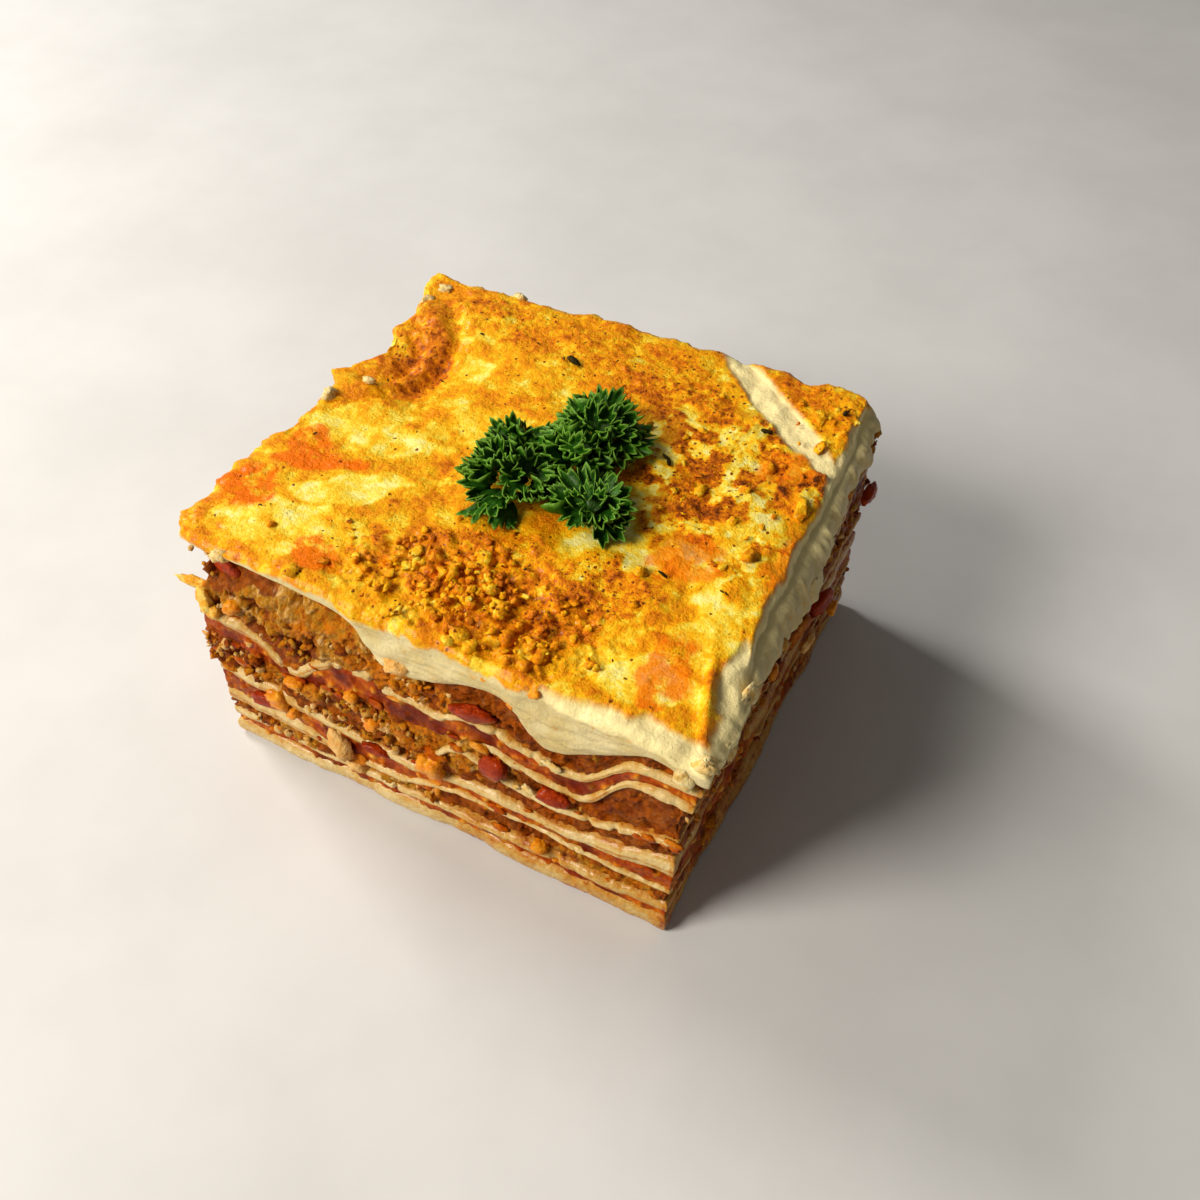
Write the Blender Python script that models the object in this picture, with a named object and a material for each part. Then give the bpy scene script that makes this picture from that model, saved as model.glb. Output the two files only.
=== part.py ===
"""A slice of lasagne, cut square from a tray, with a sprig of curly parsley on top.

The slice is a stack. Seven pasta sheets lie in waves, seven fillings of sauce and
minced meat fill the space between them, and a thick bechamel covers the last one.
Every boundary in the stack is a height worked out over the slice's footprint, so
each layer is the space between two boundaries and runs right through the slice.

Frame: +Z up, +X along the best cut face from its left corner to its right one, +Y
from that face towards the back. The origin is the middle of the slice's base.
Lengths are in millimetres up to the last step, where MM turns them into metres.
"""
import math
from collections import namedtuple

import bmesh
import bpy
import numpy as np

MM = 0.001

# The slice's size: the stack leans, so its top overhangs the base at one corner.
# LENGTH is the whole length over that corner, FACE_LENGTH the cut face's own.
LENGTH = 103.6
FACE_LENGTH = 98.5
DEPTH = 92.0
HEIGHT = 58.0
BASE_INSET_RIGHT = 5.8
BASE_INSET_LEFT = 1.3
BASE_INSET_BACK = 1.2
BACK_LEFT_SHORT = 6.5
EDGE_WOBBLE = 1.2
STACK_LEAN = 3.0
LEAN_FADE = 0.8
FRONT_LEAN = 0.4
CORNER_OVERHANG = 2.8
MEAT_RECESS = 4.5

# Where those changes start and how long they run, as shares of height or width.
OVERHANG_FROM = 0.75
OVERHANG_RUN = 0.3
RECESS_FROM = 0.68
RECESS_RUN = 0.3
RECESS_TO = 0.93
RECESS_END_RUN = 0.1
RECESS_FADE = 0.6
SHORT_RUN = 0.9
SHORT_FROM = 0.25
WOBBLE_TURNS = 7.0

# The stack: the least that a filling and the bechamel may be, the gap between
# neighbours, and how much a steep sheet may grow when it is measured straight up.
LEAST_FILLING = 0.9
LEAST_BECHAMEL = 1.8
GAP = 0.3
MOST_STRETCH = 1.5
CORNER_SOFTNESS = 1.5
SWELLS_TO_BACK = 1.3

# Stations along the slice's length and depth.
STATIONS_X = 27
STATIONS_Y = 5

# A wave follows its `profile`, (along, height) points at the front face. `thick` is the
# sheet's thickness, also as points. `drift` moves the wave along as it goes back,
# `calm` is the share of it that is gone at the back, and `swell` is a slow wave from
# front to back.
Wave = namedtuple("Wave", "profile thick drift calm swell")

BASE_SHEET_THICK = ((0, 4.3), (25, 4.0), (45, 4.8), (70, 4.5), (98.5, 4.7))
SHEETS = (
    Wave(
        ((0, 6.9), (26, 6.3), (38, 6.5), (50, 7.2), (62, 7.6), (98.5, 7.8)),
        ((0, 3.2), (30, 2.0), (50, 2.6), (70, 4.2), (98.5, 4.2)),
        0.05, 0.3, 0.4,
    ),
    Wave(
        ((0, 12), (14, 12), (20, 11.2), (26, 10), (39, 9.8), (44, 11), (50, 13.4),
         (56, 14.4), (75, 14.5), (86, 14), (98.5, 13.8)),
        ((0, 4.4), (18, 4.0), (28, 2.4), (60, 2.0), (98.5, 2.4)),
        -0.08, 0.3, 0.6,
    ),
    Wave(
        ((0, 20.4), (14, 20.2), (20, 18.8), (30, 17.4), (40, 16.8), (48, 17.2),
         (58, 18.6), (64, 18.8), (70, 17.8), (78, 17.9), (86, 19.2), (98.5, 21.6)),
        ((0, 3.4), (20, 3.2), (40, 2.4), (58, 4.2), (66, 4.2), (74, 3.0), (86, 5.4),
         (98.5, 8.0)),
        0.06, 0.5, 1.0,
    ),
    Wave(
        ((0, 26), (12, 25.2), (20, 22.2), (28, 23.6), (38, 23), (46, 21.6), (50, 23),
         (53, 27.4), (57, 28.8), (62, 27), (70, 24.6), (76, 24.2), (84, 25.2),
         (98.5, 29.6)),
        ((0, 1.8), (46, 1.8), (54, 2.4), (98.5, 2.8)),
        0.10, 0.4, 1.2,
    ),
    Wave(
        ((0, 32), (12, 29.8), (20, 25.6), (27, 29), (36, 31.4), (46, 30.8), (54, 32.2),
         (58, 33.4), (64, 33), (70, 31.2), (80, 30.8), (83, 33), (87, 40.6), (91, 42.4),
         (98.5, 42.8)),
        ((0, 1.8), (54, 1.8), (62, 2.6), (98.5, 3.0)),
        -0.10, 0.5, 1.3,
    ),
    Wave(
        ((0, 37.6), (8, 36.8), (14, 34), (18, 29.8), (21, 29), (25, 34.2), (29, 37.8),
         (36, 38.8), (41, 36.4), (47, 37.2), (52, 36.4), (56, 39.6), (60, 39.2),
         (66, 37.2), (74, 36), (80, 36.6), (82.5, 39.5), (85.5, 45), (89, 46.8),
         (98.5, 46.6)),
        ((0, 3.2), (20, 3.0), (30, 3.0), (50, 2.6), (98.5, 3.0)),
        -0.12, 0.5, 1.4,
    ),
)
BECHAMEL_BASE = Wave(
    ((0, 55.4), (10, 55.8), (22, 55.4), (32, 54.6), (34, 53.4), (36, 48), (39, 45.2),
     (45, 44.4), (50, 46.4), (56, 49.8), (60, 50.6), (63, 49.8), (66, 46.6), (69, 43),
     (72, 40.9), (75, 41.8), (80, 45.6), (84, 48.6), (88, 51.4), (91, 51.4),
     (94, 50.2), (98.5, 49.6)),
    None, 0.08, 0.75, 1.5,
)

# The crust's own ups and downs.
CRUST_TOP = HEIGHT - 0.9
CRUST_ROLL = 0.7
ROLL_ALONG = (17.0, 0.6)
ROLL_BACK = (14.0, -0.4)
DENT_PLACE = (13.0, 62.0)
DENT_REACH = 9.0
DENT_DEPTH = 3.2
MOUND_PLACE = (55.0, 12.0)
MOUND_REACH = 16.0
MOUND_RISE = 0.5
TORN_CORNER_DROP = 2.2
TORN_CORNER_REACH = 12.0

# The parsley: three lobes round a middle, as (direction in degrees, reach, spread).
PARSLEY_MIDDLE = (2.0, -3.8)
PARSLEY_LIFT = 0.6
PARSLEY_HEIGHT = 9.5
PARSLEY_RIM_SHARE = 0.3
PARSLEY_WAIST = 8.5
PARSLEY_LOBES = ((95.0, 10.5, 45.0), (218.0, 10.0, 44.0), (322.0, 11.5, 26.0))
FRILLS = 11
FRILL_DEPTH = 0.09
TOP_FRILL_DEPTH = 0.126
TOP_FRILL_TURNS = 0.9
ROUNDNESS = 0.8
PARSLEY_AROUND = 28
PARSLEY_UP = 11

COLOURS = {
    "pasta": (0.80, 0.62, 0.34, 0.45),
    "red_sauce": (0.36, 0.07, 0.015, 0.30),
    "meat_sauce": (0.42, 0.17, 0.05, 0.50),
    "bechamel": (0.86, 0.72, 0.42, 0.50),
    "parsley": (0.04, 0.16, 0.02, 0.45),
}


def smooth_step(value):
    """Climb from 0 to 1 as value goes from -0.5 to 0.5, flat at both ends."""
    t = min(max(value + 0.5, 0.0), 1.0)
    return t * t * (3.0 - 2.0 * t)


def between(points, along):
    """Value at `along` on the line through (along, value) points."""
    places, values = zip(*points)
    return float(np.interp(along, places, values))


def height_of(wave, along, back):
    """Height of a boundary at `along` from the left end and `back` from the front."""
    place = along - wave.drift * back
    near = (place - CORNER_SOFTNESS, place, place + CORNER_SOFTNESS)
    height = sum(between(wave.profile, spot) for spot in near) / len(near)
    mean = sum(value for _, value in wave.profile) / len(wave.profile)
    kept = 1.0 - wave.calm * back / DEPTH
    swell = wave.swell * math.sin(SWELLS_TO_BACK * 2.0 * math.pi * back / DEPTH)
    return mean + (height - mean) * kept + swell


def stretch_on_slope(wave, along, back):
    """How much taller a sheet measures straight up where it lies on a slope."""
    step = 1.0
    after = height_of(wave, along + step, back)
    before = height_of(wave, along - step, back)
    slope = (after - before) / (2.0 * step)
    return min(math.hypot(1.0, slope), MOST_STRETCH)


def crust_height(along, back):
    """Top of the slice: a gentle roll, a dent, a low mound and a torn corner."""
    roll = math.sin(along / ROLL_ALONG[0] + ROLL_ALONG[1])
    roll *= math.cos(back / ROLL_BACK[0] + ROLL_BACK[1])
    dent = math.hypot(along - DENT_PLACE[0], back - DENT_PLACE[1]) / DENT_REACH
    mound = math.hypot(along - MOUND_PLACE[0], back - MOUND_PLACE[1]) / MOUND_REACH
    torn = math.hypot(along - FACE_LENGTH, back) / TORN_CORNER_REACH
    return (
        CRUST_TOP
        + CRUST_ROLL * roll
        - DENT_DEPTH * math.exp(-dent * dent)
        + MOUND_RISE * math.exp(-mound * mound)
        - TORN_CORNER_DROP * math.exp(-torn * torn)
    )


def stack_boundaries(along, back):
    """All boundaries at one place, bottom to top, pushed apart where they crowd."""
    heights = [0.0, between(BASE_SHEET_THICK, along)]
    for sheet in SHEETS:
        half = between(sheet.thick, along) / 2.0 * stretch_on_slope(sheet, along, back)
        middle = height_of(sheet, along, back)
        under = max(middle - half, heights[-1] + LEAST_FILLING)
        heights += [under, under + 2.0 * half]
    top = crust_height(along, back)
    under = max(height_of(BECHAMEL_BASE, along, back), heights[-1] + LEAST_FILLING)
    heights += [min(under, top - LEAST_BECHAMEL), top]
    return heights


def footprint(u, v, height):
    """Place of a station at a height: u runs left to right, v from front to back."""
    t = min(height / HEIGHT, 1.0)
    recess = MEAT_RECESS * smooth_step((t - RECESS_FROM) / RECESS_RUN)
    recess *= smooth_step((RECESS_TO - t) / RECESS_END_RUN) * (1.0 - RECESS_FADE * v)
    wobble = EDGE_WOBBLE * v * math.sin(WOBBLE_TURNS * v + 2.0 * t) ** 2
    left = -LENGTH / 2 + BASE_INSET_LEFT * (1.0 - t) + recess + wobble
    near_front = 1.0 - smooth_step(v - 0.5)
    overhang = CORNER_OVERHANG * smooth_step((t - OVERHANG_FROM) / OVERHANG_RUN) * near_front
    lean = STACK_LEAN * (1.0 - LEAN_FADE * v) * t
    right = LENGTH / 2 - BASE_INSET_RIGHT + lean + overhang
    front = -DEPTH / 2 + FRONT_LEAN * t
    short = BACK_LEFT_SHORT * (1.0 - smooth_step(u / SHORT_RUN - SHORT_FROM))
    back = DEPTH / 2 - BASE_INSET_BACK * (1.0 - t) - short
    return left + (right - left) * u, front + (back - front) * v


def make_material(name):
    """A plain food material with its own colour and roughness."""
    red, green, blue, roughness = COLOURS[name]
    material = bpy.data.materials.new(name)
    material.use_nodes = True
    shader = material.node_tree.nodes["Principled BSDF"]
    shader.inputs["Base Color"].default_value = (red, green, blue, 1.0)
    shader.inputs["Roughness"].default_value = roughness
    shader.inputs["Metallic"].default_value = 0.0
    material.diffuse_color = (red, green, blue, 1.0)
    return material


def finish_object(name, cage, collection, material):
    """Turn a bmesh in millimetres into a named object in metres."""
    bmesh.ops.recalc_face_normals(cage, faces=cage.faces[:])
    bmesh.ops.scale(cage, vec=(MM, MM, MM), verts=cage.verts[:])
    mesh = bpy.data.meshes.new(name)
    cage.to_mesh(mesh)
    cage.free()
    mesh.materials.append(material)
    mesh.shade_smooth()
    mesh.set_sharp_from_angle(angle=math.radians(40.0))
    made = bpy.data.objects.new(name, mesh)
    collection.objects.link(made)
    return made


def make_layer(name, number, collection, material):
    """One layer of the stack: the space between boundary `number` and the next."""
    cage = bmesh.new()
    bmesh.ops.create_grid(cage, x_segments=STATIONS_X, y_segments=STATIONS_Y, size=0.5)
    lifted = bmesh.ops.extrude_face_region(cage, geom=cage.faces[:])
    upper = {item for item in lifted["geom"] if isinstance(item, bmesh.types.BMVert)}
    last = len(layer_names()) - 1
    for vert in cage.verts:
        u = vert.co.x + 0.5
        v = vert.co.y + 0.5
        heights = stack_boundaries(u * FACE_LENGTH, v * DEPTH)
        if vert in upper:
            height = heights[number + 1]
            clear = 0.0 if number == last else -GAP / 2
        else:
            height = heights[number]
            clear = 0.0 if number == 0 else GAP / 2
        x, y = footprint(u, v, height)
        vert.co = (x, y, height + clear)
    return finish_object(name, cage, collection, material)


def lobe_reach(angle):
    """How far the parsley reaches in a direction: a waist plus its three lobes."""
    reach = PARSLEY_WAIST
    for direction, length, spread in PARSLEY_LOBES:
        away = (angle - direction + 180.0) % 360.0 - 180.0
        reach += length * math.exp(-((away / spread) ** 2))
    return reach * (1.0 + FRILL_DEPTH * math.sin(math.radians(angle) * FRILLS))


def crust_under_parsley(x, y):
    """Height of the crust at a place given in the slice's frame."""
    return crust_height((x / LENGTH + 0.5) * FACE_LENGTH, y + DEPTH / 2)


def make_parsley(name, collection, material):
    """The sprig as one body out to its uneven outline: a ball pressed to the crust."""
    cage = bmesh.new()
    bmesh.ops.create_uvsphere(
        cage, u_segments=PARSLEY_AROUND, v_segments=PARSLEY_UP, radius=1.0
    )
    for vert in cage.verts:
        angle = math.degrees(math.atan2(vert.co.y, vert.co.x))
        flat = math.hypot(vert.co.x, vert.co.y)
        reach = lobe_reach(angle) * flat ** ROUNDNESS
        x = PARSLEY_MIDDLE[0] + reach * math.cos(math.radians(angle))
        y = PARSLEY_MIDDLE[1] + reach * math.sin(math.radians(angle))
        if vert.co.z < 0.0:
            share = PARSLEY_RIM_SHARE * (vert.co.z + 1.0)
        else:
            share = PARSLEY_RIM_SHARE + (1.0 - PARSLEY_RIM_SHARE) * vert.co.z
        frill = 1.0 + TOP_FRILL_DEPTH * math.sin(reach * TOP_FRILL_TURNS) * flat
        ground = crust_under_parsley(x, y) + PARSLEY_LIFT
        vert.co = (x, y, ground + PARSLEY_HEIGHT * share * frill)
    return finish_object(name, cage, collection, material)


def layer_names():
    """Names and materials of the stack's layers, bottom to top."""
    fillings = (
        "red_sauce", "meat_sauce", "red_sauce", "meat_sauce",
        "meat_sauce", "red_sauce", "meat_sauce",
    )
    names = []
    for number, filling in enumerate(fillings, start=1):
        names.append((f"pasta_sheet_{number}", "pasta"))
        names.append((f"filling_{number}", filling))
    names.append(("bechamel_and_crust", "bechamel"))
    return names


def clear_scene():
    """Remove whatever objects the file opened with."""
    for old in list(bpy.data.objects):
        bpy.data.objects.remove(old, do_unlink=True)


def main():
    clear_scene()
    collection = bpy.data.collections.new("lasagne_slice")
    bpy.context.scene.collection.children.link(collection)
    materials = {name: make_material(name) for name in COLOURS}
    for number, (name, kind) in enumerate(layer_names()):
        make_layer(name, number, collection, materials[kind])
    make_parsley("parsley_sprig", collection, materials["parsley"])


main()
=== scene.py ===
# %% [markdown]
# # A slice of lasagne, cut square, with a sprig of parsley
#
# A slice of lasagne is a stack: pasta sheets that lie in waves, sauce and minced
# meat between them, and a thick white sauce over the top that the oven has turned
# gold and brown. The frame below already holds that stack as plain solids. This
# file makes the surface that a viewer sees: ragged pasta edges, crumbly meat,
# glossy sauce, a blistered crust and curled leaves.
#
# Every new shape is a numpy array of points worked out by a formula. Lengths are in
# millimetres until a mesh is made, and one seed per use keeps each run the same.

# %% Load the frame
import math
from itertools import product

import bpy
import numpy as np
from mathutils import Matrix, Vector


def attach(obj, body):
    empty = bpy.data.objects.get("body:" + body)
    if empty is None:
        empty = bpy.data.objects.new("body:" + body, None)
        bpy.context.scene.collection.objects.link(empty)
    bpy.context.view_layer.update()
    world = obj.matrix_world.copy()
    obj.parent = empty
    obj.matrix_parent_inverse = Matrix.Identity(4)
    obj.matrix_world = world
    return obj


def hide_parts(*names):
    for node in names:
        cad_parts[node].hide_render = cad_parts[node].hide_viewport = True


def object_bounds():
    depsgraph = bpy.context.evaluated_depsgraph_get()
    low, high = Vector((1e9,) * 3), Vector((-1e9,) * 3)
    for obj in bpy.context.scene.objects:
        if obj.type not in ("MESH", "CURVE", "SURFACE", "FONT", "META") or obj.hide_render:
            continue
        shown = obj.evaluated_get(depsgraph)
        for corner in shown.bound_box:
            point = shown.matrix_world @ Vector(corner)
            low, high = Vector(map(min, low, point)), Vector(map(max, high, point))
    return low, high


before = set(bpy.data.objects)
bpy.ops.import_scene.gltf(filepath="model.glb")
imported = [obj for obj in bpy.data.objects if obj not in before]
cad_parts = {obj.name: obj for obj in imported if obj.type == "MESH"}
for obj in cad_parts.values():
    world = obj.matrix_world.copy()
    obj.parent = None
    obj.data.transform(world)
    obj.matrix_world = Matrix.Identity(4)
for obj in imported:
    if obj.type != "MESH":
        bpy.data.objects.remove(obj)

MM = 0.001
cad_box = [list(corner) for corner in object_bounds()]
box_low, box_high = np.array(cad_box) / MM
LENGTH, DEPTH = (box_high - box_low)[:2].round(1).tolist()
print("slice box in mm:", box_low.round(1), box_high.round(1))

# %% [markdown]
# ## Noise: how food gets its unevenness
#
# Blender's own textures only show at render time, but the real bumps here have to be
# in the mesh. So noise is worked out for whole arrays of points at once. Value noise
# gives each corner of a lattice a random number and blends between them. Fractal noise
# adds finer copies of it. Cells measure the distance to the nearest of many scattered
# points, which makes grains and blisters.


# %% Random numbers on a lattice
LOW_BITS = 0xFFFFFF


def lattice(ix, iy, iz, seed):
    """A number from 0 to 1 for each whole-number corner: its bits are mixed by large
    odd numbers and shifts, and the low ones are kept."""
    n = ix * 73856093 ^ iy * 19349663 ^ iz * 83492791 ^ (seed + 11) * 2654435761
    n = (n ^ (n >> 13)) * 1274126177
    n = (n ^ (n >> 16)) * 668265263
    return ((n ^ (n >> 15)) & LOW_BITS) / float(LOW_BITS)


def value_noise(x, y, z, seed):
    """Noise from -1 to 1: corner values blended by 6t^5 - 15t^4 + 10t^3 on each axis."""
    x, y, z = np.broadcast_arrays(x, y, z)
    whole = [np.floor(part).astype(np.int64) for part in (x, y, z)]
    t = [part - base for part, base in zip((x, y, z), whole)]
    t = [part * part * part * (part * (part * 6.0 - 15.0) + 10.0) for part in t]
    total = np.zeros(x.shape)
    for dx, dy, dz in product((0, 1), repeat=3):
        weight = (t[0] if dx else 1 - t[0]) * (t[1] if dy else 1 - t[1])
        weight = weight * (t[2] if dz else 1 - t[2])
        total += weight * lattice(whole[0] + dx, whole[1] + dy, whole[2] + dz, seed)
    return total * 2.0 - 1.0


def fractal(x, y, z, size, seed, octaves=3):
    """Value noise of one size plus copies half as big and half as strong."""
    total = 0.0
    for octave in range(octaves):
        scale = 2.0 ** octave / size
        total = total + value_noise(x * scale, y * scale, z * scale, seed + octave) / 2.0 ** octave
    return total / (2.0 - 2.0 ** (1 - octaves))


# %% Grains and blisters
def cells(x, y, z, size, seed):
    """Distance to the nearest scattered point over the cell size, the gap to the
    second nearest, and a number from 0 to 1 that belongs to the nearest one. Each cell
    has one point, somewhere in its middle 70 %."""
    x, y, z = [np.asarray(part, float) / size for part in np.broadcast_arrays(x, y, z)]
    whole = [np.floor(part).astype(np.int64) for part in (x, y, z)]
    first = np.full(x.shape, 9.0)
    second = np.full(x.shape, 9.0)
    owner = np.zeros(x.shape)
    for dx, dy, dz in product((-1, 0, 1), repeat=3):
        corner = (whole[0] + dx, whole[1] + dy, whole[2] + dz)
        px, py, pz = [side + 0.15 + 0.7 * lattice(*corner, seed + axis) for axis, side in enumerate(corner)]
        far = np.sqrt((px - x) ** 2 + (py - y) ** 2 + (pz - z) ** 2)
        nearer = far < first
        second = np.where(nearer, first, np.minimum(second, far))
        owner = np.where(nearer, lattice(*corner, seed + 3), owner)
        first = np.where(nearer, far, first)
    return first, second - first, owner


# %% [markdown]
# ## The stack's boundaries
#
# The frame's solids lie between boundaries: heights worked out over the slice's
# footprint. The same formulas are written here for arrays, because the fine surface
# of every layer must follow the solid that it stands for. `along` runs from the left
# end of the cut face, `back` runs away from that face.

# %% Waves of the pasta sheets
FACE_LENGTH = 98.5
FRONT_Y = -DEPTH / 2
HEIGHT = 58.0
LEAST_FILLING = 0.9
LEAST_BECHAMEL = 1.8

# a sheet: (along, height) points of its wave at the front, (along, thickness) points,
# its drift sideways per millimetre back, how far it calms down, and a swell in mm
BASE_SHEET_THICK = ((0, 4.3), (25, 4.0), (45, 4.8), (70, 4.5), (98.5, 4.7))
SHEETS = (
    (((0, 6.9), (26, 6.3), (38, 6.5), (50, 7.2), (62, 7.6), (98.5, 7.8)),
     ((0, 3.2), (30, 2.0), (50, 2.6), (70, 4.2), (98.5, 4.2)), 0.05, 0.3, 0.4),
    (((0, 12), (14, 12), (20, 11.2), (26, 10), (39, 9.8), (44, 11), (50, 13.4), (56, 14.4),
      (75, 14.5), (86, 14), (98.5, 13.8)),
     ((0, 4.4), (18, 4.0), (28, 2.4), (60, 2.0), (98.5, 2.4)), -0.08, 0.3, 0.6),
    (((0, 20.4), (14, 20.2), (20, 18.8), (30, 17.4), (40, 16.8), (48, 17.2), (58, 18.6),
      (64, 18.8), (70, 17.8), (78, 17.9), (86, 19.2), (98.5, 21.6)),
     ((0, 3.4), (20, 3.2), (40, 2.4), (58, 4.2), (66, 4.2), (74, 3.0), (86, 5.4), (98.5, 8.0)),
     0.06, 0.5, 1.0),
    (((0, 26), (12, 25.2), (20, 22.2), (28, 23.6), (38, 23), (46, 21.6), (50, 23), (53, 27.4),
      (57, 28.8), (62, 27), (70, 24.6), (76, 24.2), (84, 25.2), (98.5, 29.6)),
     ((0, 1.8), (46, 1.8), (54, 2.4), (98.5, 2.8)), 0.10, 0.4, 1.2),
    (((0, 32), (12, 29.8), (20, 25.6), (27, 29), (36, 31.4), (46, 30.8), (54, 32.2), (58, 33.4),
      (64, 33), (70, 31.2), (80, 30.6), (83, 33), (87, 41.0), (91, 42.6), (98.5, 42.0)),
     ((0, 1.8), (54, 1.8), (62, 2.6), (98.5, 3.0)), -0.10, 0.5, 1.3),
    (((0, 37.6), (8, 36.8), (14, 34), (18, 29.8), (21, 29), (25, 34.2), (29, 37.8), (36, 38.8),
      (41, 36.4), (47, 37.2), (52, 36.4), (56, 39.6), (60, 39.2), (66, 37.2), (74, 36),
      (80, 36.6), (82.5, 39.5), (85.5, 45), (89, 46.8), (98.5, 46.6)),
     ((0, 3.2), (20, 3.0), (30, 3.0), (50, 2.6), (98.5, 3.0)), -0.12, 0.5, 1.4),
)
# the underside of the white sauce, which has no thickness of its own
BECHAMEL_BASE = (
    ((0, 55.4), (10, 55.8), (22, 55.4), (32, 54.6), (34, 53.4), (36, 48), (39, 45.2), (45, 44.4),
     (50, 46.4), (56, 49.8), (60, 50.6), (63, 49.8), (66, 46.6), (69, 43), (72, 40.9), (75, 41.8),
     (80, 45.6), (84, 48.6), (88, 51.4), (91, 51.4), (94, 50.2), (98.5, 49.6)),
    None, 0.08, 0.75, 1.5,
)
SHEET_COUNT = len(SHEETS) + 1


def smooth_step(value):
    """3t^2 - 2t^3 with t from 0 to 1 as value goes from -0.5 to 0.5."""
    t = np.clip(value + 0.5, 0.0, 1.0)
    return t * t * (3.0 - 2.0 * t)


def bump(distance):
    """A soft hill: e to the power of minus distance squared."""
    return np.exp(-distance ** 2)


def between(points, along):
    """Value at `along` on the line through (along, value) points."""
    places, values = zip(*points)
    return np.interp(along, places, values)


def wave_height(wave, along, back):
    """The profile averaged over 1.8 mm, pulled to its mean by calm, plus a swell of
    1.3 slow waves from front to back."""
    profile, _, drift, calm, swell = wave
    place = along - drift * back
    height = sum(between(profile, place + step) for step in (-0.9, 0.0, 0.9)) / 3.0
    mean = sum(value for _, value in profile) / len(profile)
    slow = swell * np.sin(2.6 * np.pi * back / DEPTH)
    return mean + (height - mean) * (1.0 - calm * back / DEPTH) + slow


# %% Top of the crust and the outline
def crust_height(along, back):
    """A gentle roll, a dent near one corner, a low mound and a torn corner."""
    roll = 0.7 * np.sin(along / 17.0 + 0.6) * np.cos(back / 14.0 - 0.4)
    dent = 3.2 * bump(np.hypot(along - 13.0, back - 62.0) / 9.0)
    mound = 0.5 * bump(np.hypot(along - 55.0, back - 12.0) / 16.0)
    torn = 2.2 * bump(np.hypot(along - FACE_LENGTH, back) / 12.0)
    return HEIGHT - 0.9 + roll - dent + mound - torn


def on_crust(x, y):
    """Height of the crust's plain top under a place of the frame."""
    return crust_height((x / LENGTH + 0.5) * FACE_LENGTH, y - FRONT_Y)


def boundaries(along, back):
    """Heights of all boundaries, bottom to top, each pushed up off the one below. A
    sheet keeps its thickness on a slope: it grows by sqrt(1 + slope^2), to 1.5."""
    heights = [np.zeros_like(along), between(BASE_SHEET_THICK, along)]
    for sheet in SHEETS:
        slope = (wave_height(sheet, along + 1, back) - wave_height(sheet, along - 1, back)) / 2
        half = between(sheet[1], along) / 2 * np.minimum(np.hypot(1.0, slope), 1.5)
        under = np.maximum(wave_height(sheet, along, back) - half, heights[-1] + LEAST_FILLING)
        heights += [under, under + 2 * half]
    top = crust_height(along, back)
    under = np.maximum(wave_height(BECHAMEL_BASE, along, back), heights[-1] + LEAST_FILLING)
    return heights + [np.minimum(under, top - LEAST_BECHAMEL), top]


def footprint(u, v, height):
    """Where a station of the stack lies: u left to right, v front to back. The left
    end is hollow below the crust and wavy, the crust hangs over at the right, and the
    back slants forward towards its left end."""
    t = np.minimum(height / HEIGHT, 1.0)
    recess = 4.5 * smooth_step((t - 0.68) / 0.3) * smooth_step((0.93 - t) / 0.1)
    wobble = 1.2 * v * np.sin(7.0 * v + 2.0 * t) ** 2
    left = -LENGTH / 2 + 1.3 * (1.0 - t) + recess * (1.0 - 0.6 * v) + wobble
    overhang = 2.8 * smooth_step((t - 0.75) / 0.3) * (1.0 - smooth_step(v - 0.5))
    right = LENGTH / 2 - 5.8 + 3.0 * (1.0 - 0.8 * v) * t + overhang
    front = -DEPTH / 2 + 0.4 * t
    back = DEPTH / 2 - 1.2 * (1.0 - t) - 6.5 * (1.0 - smooth_step(u / 0.9 - 0.25))
    return left + (right - left) * u, front + (back - front) * v


# %% [markdown]
# ## From arrays to meshes
#
# A surface made by a formula is a grid of points. Four neighbours make a face, and a
# grid that runs all the way round is closed by joining its last column to its first.
# A ring that has to close to a single point gets a fan of triangles. Numbers that the
# material needs, such as how deep a point lies in a crevice, are kept on the mesh as
# attributes, so colour and relief always agree.


# %% Faces of a grid, and fans
def grid_faces(rows, columns, wrap=False):
    """Corner numbers of each face between two neighbouring rows and columns."""
    row = np.arange(rows - 1)[:, None] * columns
    column = np.arange(columns if wrap else columns - 1)[None, :]
    after = (column + 1) % columns
    faces = [row + column, row + after, row + columns + after, row + columns + column]
    return np.stack([np.broadcast_to(f, (rows - 1, column.shape[1])) for f in faces], -1).reshape(-1, 4)


def fan_faces(ring, centre, flip):
    """Triangles from each edge of a closed ring to one centre point."""
    after = np.roll(ring, -1)
    middle = np.full_like(ring, centre)
    order = (after, ring, middle) if flip else (ring, after, middle)
    return np.stack(order, -1)


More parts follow.
